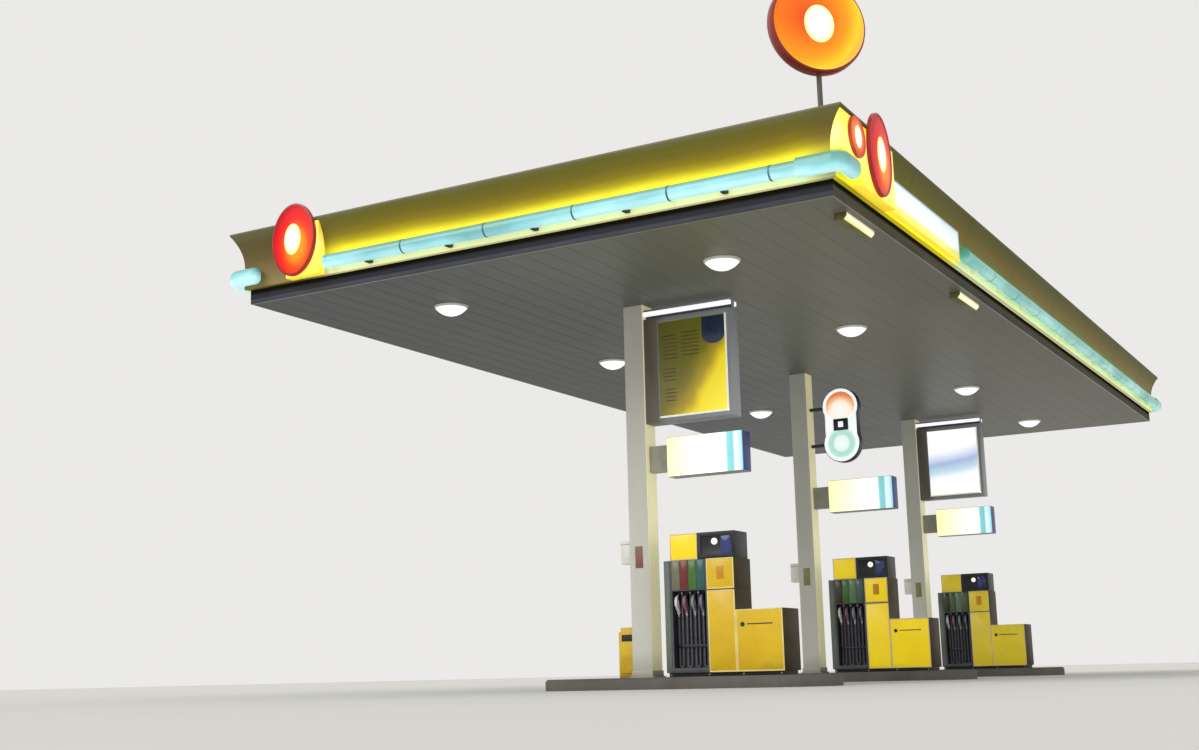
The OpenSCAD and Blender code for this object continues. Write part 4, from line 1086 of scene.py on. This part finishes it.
class CANOPY_OT_flags(bpy.types.Operator):
    """Finishes the lit flag signs and the sign with two round faces"""
    bl_idname = "canopy.flags"
    bl_label = "Column signs"

    def execute(self, context):
        edge_radius = context.scene.canopy_sizes.sheet_edge
        start, stop = 0.45, 1.57
        # Backlit acrylic: pale yellow to white, with a printed sea-green band.
        face = along(
            "backlit_flag_acrylic", "X", start, stop,
            [(0.0, "fbf5b0"), (0.30, "fffbd2"), (0.60, "fffff6"), (0.775, "eefcfa"), (0.80, "7fc4c4"),
             (0.875, "78bccb"), (0.90, "e4f8ff"), (0.96, "b4e4fa"), (1.0, "7fbce6")], glow=0.78)
        # Painted sheet casing: warm grey, with a dark blue end.
        body = coat("grey_sheet_casing", "a8a79a", "8f8f84", 0.3, 0.4)
        end = coat("dark_blue_casing", "1f3f86", "182f6c", 0.3)

        def rule(middle, normal):
            """The outer end is dark blue, the two faces are lit and the rest is casing."""
            if normal.x > FACING and middle.x > stop - 0.07:
                return 2
            return 0 if abs(normal.y) > FACING and middle.x > start + 0.01 else 1

        for i in COLUMN_Y:
            refine(f"flag_box_{i}", f"flag_sign_{i}", [face, body, end], bevel=edge_radius,
                   rule=rule, edge=1)

        # Painted sheet case of the sign with two round faces: dark navy.
        navy = coat("navy_sheet_case", "222c44", "161e32", 0.3)
        refine("badge_case", "badge_sign_2", [navy], bevel=edge_radius)
        # Lit acrylic band round its faces: even white.
        band = coat("lit_white_acrylic_band", "ffffff", "eef6ff", 0.3, 0.15, 0.006, 0.1, 0.02, glow=0.6)
        disc_r, step = 0.255, 0.630
        # Lit acrylic discs: the upper one amber at its foot, the lower one sea-green.
        warm = lit_face(
            "amber_disc_acrylic", -0.1, 1.35,
            [(0.0, "ffffff"), (0.46, "fff6e6"), (0.66, "fac89c"), (0.88, "ee9e6c"), (1.0, "e4845a")],
            0.6, (0.0, 2.6), (disc_r, disc_r))
        cool = lit_face(
            "sea_green_disc_acrylic", 0.0, 1.0,
            [(0.0, "fafffd"), (0.50, "e6faf4"), (0.62, "b0e0d2"), (0.85, "b8e6dc"), (1.0, "d8f4ee")],
            0.6, stretch=(disc_r, disc_r))

        def outline(inset, z):
            """The sign's outline, set in: two arcs joined by the straight sides of the waist."""
            r, half = 0.320 - inset, 0.290 - inset
            first = acos(half / r)
            angles = [-first + (pi + 2 * first) * k / 36 for k in range(37)]
            upper = [(r * cos(t), step / 2 + r * sin(t), z) for t in angles]
            return upper + [(-px, -py, pz) for px, py, pz in upper]

        faces, bar = Shape(), Shape()
        case_x, case_half = 0.720, 0.075
        for s in (-1, 1):
            at = (move(case_x, COLUMN_Y[2] + s * case_half, SOFFIT - step * 3 / 2)
                  @ turn(-90 * s, "X"))
            if s > 0:
                at = at @ Matrix.Scale(-1, 4, (0, 1, 0))
            faces.add(bridged([outline(inset, z) for inset, z in (
                (0.012, 0.0), (0.012, 0.008), (0.018, 0.013), (0.052, 0.013), (0.058, 0.008), (0.058, 0.0))],
                closed=True), 0, at)
            faces.add(bridged([outline(0.0582, 0.0), outline(0.0582, 0.003)]), 0, at)
            for up, mark in ((step / 2, 1), (-step / 2, 2)):
                faces.add(turned([(0.258, 0.002), (0.258, 0.006), (0.160, 0.008), (0.020, 0.009)], 72), mark,
                          at @ move(0, up))
            bar.add(block((-0.130, -0.095, 0.001), (0.130, 0.105, 0.0125)), 0, at)
            bar.add(block((-0.045, -0.040, 0.012), (0.045, 0.055, 0.016)), 1, at)
        build("badge_faces", faces, [band, warm, cool])
        build("badge_bar", bar, [navy, band], bevel=0.002)
        return {"FINISHED"}


class CANOPY_OT_islands(bpy.types.Operator):
    """Finishes the kerbed islands and the bin"""
    bl_idname = "canopy.islands"
    bl_label = "Islands and bin"

    def execute(self, context):
        # Cast concrete: grey with darker damp patches and a pitted face.
        concrete = coat("cast_concrete_kerb", "6a6760", "514e49", 0.5, 0.75, 0.012, 0.2, 0.5, spread=0.5)
        for i in COLUMN_Y:
            refine(f"kerbed_island_{i}", f"island_{i}", [concrete], bevel=0.006)
        # Moulded polyethylene: yellow, slightly waxy.
        plastic = coat("moulded_yellow_polyethylene", "e6c21c", "d0aa12", 0.25, 0.4, 0.006, relief=0.1,
                       foot=("6b6030", 0.5))
        # Cut rubber flap and seam: matt black.
        rubber = coat("black_rubber_flap", "25231c", "1a1914", 0.1, 0.55, 0.005)
        refine("bin_body", "island_bin", [plastic], bevel=0.008)
        low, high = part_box("island_bin")
        x = (low.x + high.x) / 2
        flaps = Shape()
        # On both sides, the flap under the lid and the seam over the foot.
        for y, s in ((low.y, -1), (high.y, 1)):
            for half, z0, z1, proud in ((0.105, high.z - 0.185, high.z - 0.095, 0.004),
                                        (0.115, low.z + 0.055, low.z + 0.061, 0.0015)):
                flaps.add(block((x - half, y, z0), (x + half, y + s * proud, z1)))
        build("bin_flaps", flaps, [rubber], bevel=0.001)
        return {"FINISHED"}


class CANOPY_OT_dispensers(bpy.types.Operator):
    """Finishes the dispensers with their labels, screens, boots and fittings"""
    bl_idname = "canopy.dispensers"
    bl_label = "Dispensers"

    def execute(self, context):
        sheet = {"patch": 0.5, "rough": 0.2, "grain": 0.02, "relief": 0.04, "spread": 0.5}
        # Enamelled sheet steel: warm yellow with faintly uneven gloss. The second dispenser and
        # the first one's head stand in the brightest light and get the bright copy with painted
        # light, and the third dispenser gets the lemon copy with a little painted light.
        enamel = coat("yellow_enamelled_steel", context.scene.canopy_colours.enamel, "d8ae0a",
                      foot=("8c7a22", 0.55), **sheet)
        bright = coat("bright_yellow_enamel", "f6da14", "eac80c", foot=("a08a20", 0.45), glow=0.34, **sheet)
        lemon = coat("lemon_yellow_enamel", "ecd42c", "d8c024", foot=("a09030", 0.45), glow=0.16, **sheet)
        # Rolled edge of the same enamel, painted pale as a highlight.
        pale = coat("highlight_enamel_edge", "f3e29a", "e2cc74", 0.3, 0.25)
        # The enamel's narrow sides: deep brown in the shade, hardly glossy.
        brown = coat("shaded_enamel_side", "40341a", "332a14", 0.4, 0.4, 0.02, relief=0.04, specular=0.12)
        # Powder-coated sheet steel: dark blue-grey, rougher and black inside the bay.
        outer = coat("grey_powder_coated_casing", "4d5552", "3c4342", 0.3, 0.45, 0.006)
        inner = coat("black_bay_liner", "1d1b21", "121116", 0.3, 0.5, 0.006)
        # Moulded black plastic with a fine spark-eroded grain.
        black = coat("black_moulded_plastic", "17171a", "0e0e11", 0.3, 0.35, 0.003, relief=0.2)
        # Powder-coated end panel: dull grey-green.
        green = coat("grey_green_end_panel", "6b7468", "596156", 0.3, 0.45, 0.006)
        # Dark blue display glass: smooth, with sharp reflections.
        glass = coat("dark_display_glass", "3a458c", "29316c", 0.12, 0.05, span=0.07, relief=0.01, spread=0.5)
        # Moulded opal lamp: white and lit.
        lamp = coat("white_call_lamp", "ffffff", "f4ecec", 0.05, 0.15, 0.004, span=0.1, relief=0.02, glow=0.7)
        # Amber printed film: a plain label with a soft sheen.
        amber = coat("amber_blank_label", "dc9a10", "c98608", 0.15, 0.25, 0.006, span=0.1)

        # Heights over the island: the panels' foot, the tall panels' seam and head, the
        # low panel's head and the head's top.
        foot, seam, tall, short, top = 0.050, (1.090, 1.104), 1.500, 0.830, 1.850
        hair = 0.001

        def bay_rule(middle, normal):
            """The bay's inside and the plinth are black."""
            up = middle.z - ISLAND
            inside = (GRADE_X - hair < middle.x < GRADE_END + hair
                      and BAY_FLOOR - 0.01 < up < BAY_TOP + 0.01)
            shut = abs(abs(across(middle)) - BAY_Y) < hair
            return int(inside and not shut or up < foot)

        def panel_rule(middle, normal):
            """The narrow sides, in painted shade, and the seam are brown, and the head has its own yellow, on
            the first dispenser the copy with painted light.
            """
            up = middle.z - ISLAND
            if abs(normal.x) > FACING or seam[0] - hair < up < seam[1] + hair:
                return 1
            return 2 if up > tall + hair else 0

        for i, (main, head) in enumerate(((enamel, bright), (bright, bright), (lemon, lemon)), 1):
            name = f"dispenser_{i}_"
            refine(name + "casing", name + "bay", [outer, inner], bevel=0.003, rule=bay_rule)
            refine(name + "panels", name + "cladding", [main, brown, head], bevel=0.003,
                   rule=panel_rule)
            refine(name + "hood", name + "head", [black], bevel=0.005)

        # Each dispenser's plain grade panels over the nozzles, seen from the front.
        grades = (
            ("7c7862", "6c6854"), ("7a2c22", "64241a"), ("46782a", "3a6624"), ("2c625c", "24524e"),
            ("30361a", "262b14"), ("467222", "3a601c"), ("64885e", "567850"), ("48625e", "3c5450"),
            ("2c3e1a", "243214"), ("4e6638", "42582e"), ("688268", "5a7258"), ("526440", "465636"))
        labels, papers = Shape(), []
        gap, label_z = 0.003, (1.115, 1.490)
        for number, (colour, shade) in enumerate(grades):
            i, k = number // 4 + 1, number % 4
            # Printed film behind clear plastic: even colour with a soft sheen.
            film = coat(f"printed_film_{i}_{k}", colour, shade, 0.2, 0.15, 0.02, 0.1, 0.02, spread=0.5)
            papers.append(film)
            for s in (-1, 1):
                x = GRADE_X + GRADE_STEP * (k if s < 0 else 3 - k)
                x0, x1 = x + gap, x + GRADE_STEP - gap
                labels.add(slab(s, BAY_Y, 0.006, x0, x1, *label_z), number, on_island(i))
        build("grade_panels", labels, papers, bevel=0.0015)

        screens, lamps, fittings, blanks, boots, ends, bars = (Shape() for _ in range(7))
        # Flat parts: their plane, how far they stand out, their two ends, foot and head.
        screen = (SCREEN_Y, 0.006, 1.225, 1.373, 1.557, 1.793)
        end_panel = (BAY_Y, 0.004, 0.417, 0.497, 0.056, 1.494)
        handle = (PANEL_Y, 0.003, 1.590, 1.940, 0.636, 0.650)
        blank = (PANEL_Y, 0.002, 1.185, 1.285, 1.230, 1.400)
        # The screws along the plinth.
        screw_x, screw_y, screw_z, spots = (0.47, 1.02, 1.50, 2.02), 0.2245, 0.025, []
        panels = ((PANEL_Y, 1.040, 1.430, seam[1], tall), (PANEL_Y, 1.040, 1.430, foot, seam[0]),
                  (PANEL_Y, 1.432, 2.080, foot, short), (HEAD_Y, 0.490, 0.890, tall + 0.002, top))
        call_lamp = [(0.044, 0), (0.044, 0.006), (0.040, 0.016), (0.028, 0.026), (0.010, 0.030)]
        lock = [(0.030, 0), (0.030, 0.003), (0.026, 0.006), (0.012, 0.005), (0.010, 0.003)]
        boot = [(0.0, 0.0), (0.020, -0.020), (0.075, 0.050), (0.075, 0.085), (0.0, 0.125)]
        for i, s in ISLAND_SIDES:
            at = on_island(i)
            screens.add(slab(s, *screen), at=at)
            ends.add(slab(s, *end_panel), at=at)
            # The pale bars round each panel are painted highlights on its rolled edges.
            for y, *panel in panels:
                for bar in border(*panel, context.scene.canopy_sizes.edge_bar):
                    bars.add(slab(s, y, 0.002, *bar), at=at)
            outward = turn(-90 * s, "X")
            lamps.add(turned(call_lamp, 32), at=at @ move(1.135, s * SCREEN_Y, 1.725) @ outward)
            # A lock and a flush handle on the low panel, a blank label on the tall one.
            fittings.add(turned(lock, 32), at=at @ move(1.525, s * PANEL_Y, 0.640) @ outward)
            fittings.add(slab(s, *handle), at=at)
            blanks.add(slab(s, *blank), at=at)
            spots += [(at @ Vector((x, s * screw_y, screw_z)), (0, s, 0)) for x in screw_x]
        # Each nozzle rests between the two cheeks of a boot.
        cheek, boot_z = 0.004, 0.955
        for i, s, x in NOZZLES:
            for out in (-0.0275, 0.0235):
                low = x + s * NOZZLE_SHIFT + out
                points, faces = prism(boot, low, low + cheek)
                points = [(px, s * (NOZZLE_Y + py), boot_z + pz) for py, pz, px in points]
                boots.add((points, faces), at=on_island(i))
        build("display_screens", screens, [glass], bevel=0.0015)
        build("end_panels", ends, [green], bevel=0.002)
        build("highlight_edge_bars", bars, [pale], bevel=0.0008)
        build("call_lamps", lamps, [lamp])
        build("panel_locks", fittings, [black], bevel=0.0008)
        build("blank_labels", blanks, [amber], bevel=0.0008)
        build("nozzle_boots", boots, [black], bevel=0.0012)
        bolts("dispenser_screws", spots, bpy.data.materials["stainless_fitting"], 0.007, 0.005)
        return {"FINISHED"}


class CANOPY_OT_nozzles(bpy.types.Operator):
    """Finishes the nozzles and lays the hoses along their loops"""
    bl_idname = "canopy.nozzles"
    bl_label = "Nozzles and hoses"

    def execute(self, context):
        # Moulded covers over cast nozzles: each grade has its own dull colour.
        tones = (("dfe3e0", "c4cac6"), ("8e6474", "765062"), ("8a9492", "707a78"), ("7c7488", "655e72"))
        covers = [coat(f"moulded_nozzle_cover_{k}", *pair, 0.06, 0.35, 0.004, relief=0.1)
                  for k, pair in enumerate(tones)]

        def rule(middle, normal):
            """Each nozzle has its grade's cover, counted from the left, seen from its own side."""
            s = 1 if across(middle) > 0 else -1
            k = round((middle.x - s * NOZZLE_SHIFT - NOZZLE_X) / GRADE_STEP)
            return k if s < 0 else 3 - k

        refine("nozzle_bodies", "nozzles", covers, bevel=0.004, rule=rule)
        # Ribbed rubber hose: painted all over in a dull violet-grey sheen, as where it catches the light.
        rubber = coat(
            "ribbed_rubber_hose", "5b5866", "45434f", 0.1, 0.5, 0.006, relief=0.3, stretch=(1, 1, 4))
        # The hose leaves its nozzle, goes down to a half loop over the bay's floor and
        # comes up to its outlet. Heights are over the island.
        under, straight = 0.810, 0.04
        bend, radius, gap = 0.028, 0.013, 0.0003
        loop_z = BAY_FLOOR + gap + bend + radius
        depth = NOZZLE_Y + 0.018 + gap
        drop, rise = under - straight - loop_z, BAY_TOP - straight - loop_z
        arc = [radians(a) for a in range(0, 181, 15)]
        sleeves, paths = Shape(), []
        for i, s, x in NOZZLES:
            near, far = x + s * bend, x - s * bend
            route = [(near, under - 0.002)]
            route += [(near, under - straight - drop * t / 10) for t in range(10)]
            route += [(x + s * bend * cos(a), loop_z - bend * sin(a)) for a in arc]
            route += [(far, loop_z + rise * t / 12) for t in range(1, 13)]
            route += [(far, BAY_TOP - 0.001)]
            links = [(n, n + 1) for n in range(len(route) - 1)]
            base = plain_mesh(([(px, s * depth, pz) for px, pz in route], []), links)
            mesh = grow("round_along_path", base, rubber, Radius=radius, Sides=16)
            paths.append((mesh, on_island(i)))
            # A collar holds the hose at its nozzle and at its outlet.
            for px, z1 in ((near, under), (far, BAY_TOP)):
                z0 = z1 - straight
                collar = [(0.0135, z0 - 0.004), (0.016, z0), (0.018, z0 + 0.006), (0.018, z1 - 0.004),
                          (0.0165, z1)]
                sleeves.add(turned(collar, 24), at=on_island(i) @ move(px, s * depth))
        settle("hose_loops", joined(paths), [rubber], ("hoses",))
        build("hose_collars", sleeves, [bpy.data.materials["stainless_fitting"]])
        refine("hose_rail_bars", "hose_rails", [bpy.data.materials["black_moulded_plastic"]],
               bevel=0.0015)
        return {"FINISHED"}


OPERATORS = (
    CANOPY_OT_camera, CANOPY_OT_studio, CANOPY_OT_roof, CANOPY_OT_soffit, CANOPY_OT_fascia,
    CANOPY_OT_light_tubes, CANOPY_OT_cabinets, CANOPY_OT_signs, CANOPY_OT_roof_sign,
    CANOPY_OT_soffit_lights, CANOPY_OT_columns, CANOPY_OT_posters, CANOPY_OT_flags,
    CANOPY_OT_islands, CANOPY_OT_dispensers, CANOPY_OT_nozzles,
)


class CANOPY_PT_panel(bpy.types.Panel):
    bl_label = "Filling station canopy"
    bl_idname = "CANOPY_PT_panel"
    bl_space_type = "VIEW_3D"
    bl_region_type = "UI"
    bl_category = "Canopy"

    def draw(self, context):
        for name in SETTINGS:
            group = getattr(context.scene, name)
            box = self.layout.box()
            for setting in group.__annotations__:
                box.prop(group, setting)
        for operator in OPERATORS:
            self.layout.operator(operator.bl_idname)


SETTINGS = {"canopy_camera": CanopyCamera, "canopy_sizes": CanopySizes, "canopy_colours": CanopyColours}
CLASSES = (*SETTINGS.values(), *OPERATORS, CANOPY_PT_panel)


def register():
    for item in CLASSES:
        bpy.utils.register_class(item)
    for name, group in SETTINGS.items():
        setattr(bpy.types.Scene, name, PointerProperty(type=group))


def unregister():
    for name in SETTINGS:
        delattr(bpy.types.Scene, name)
    for item in reversed(CLASSES):
        bpy.utils.unregister_class(item)


def main():
    register()
    for operator in OPERATORS:
        group, name = operator.bl_idname.split(".")
        getattr(getattr(bpy.ops, group), name)()
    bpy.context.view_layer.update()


if __name__ == "__main__":
    main()
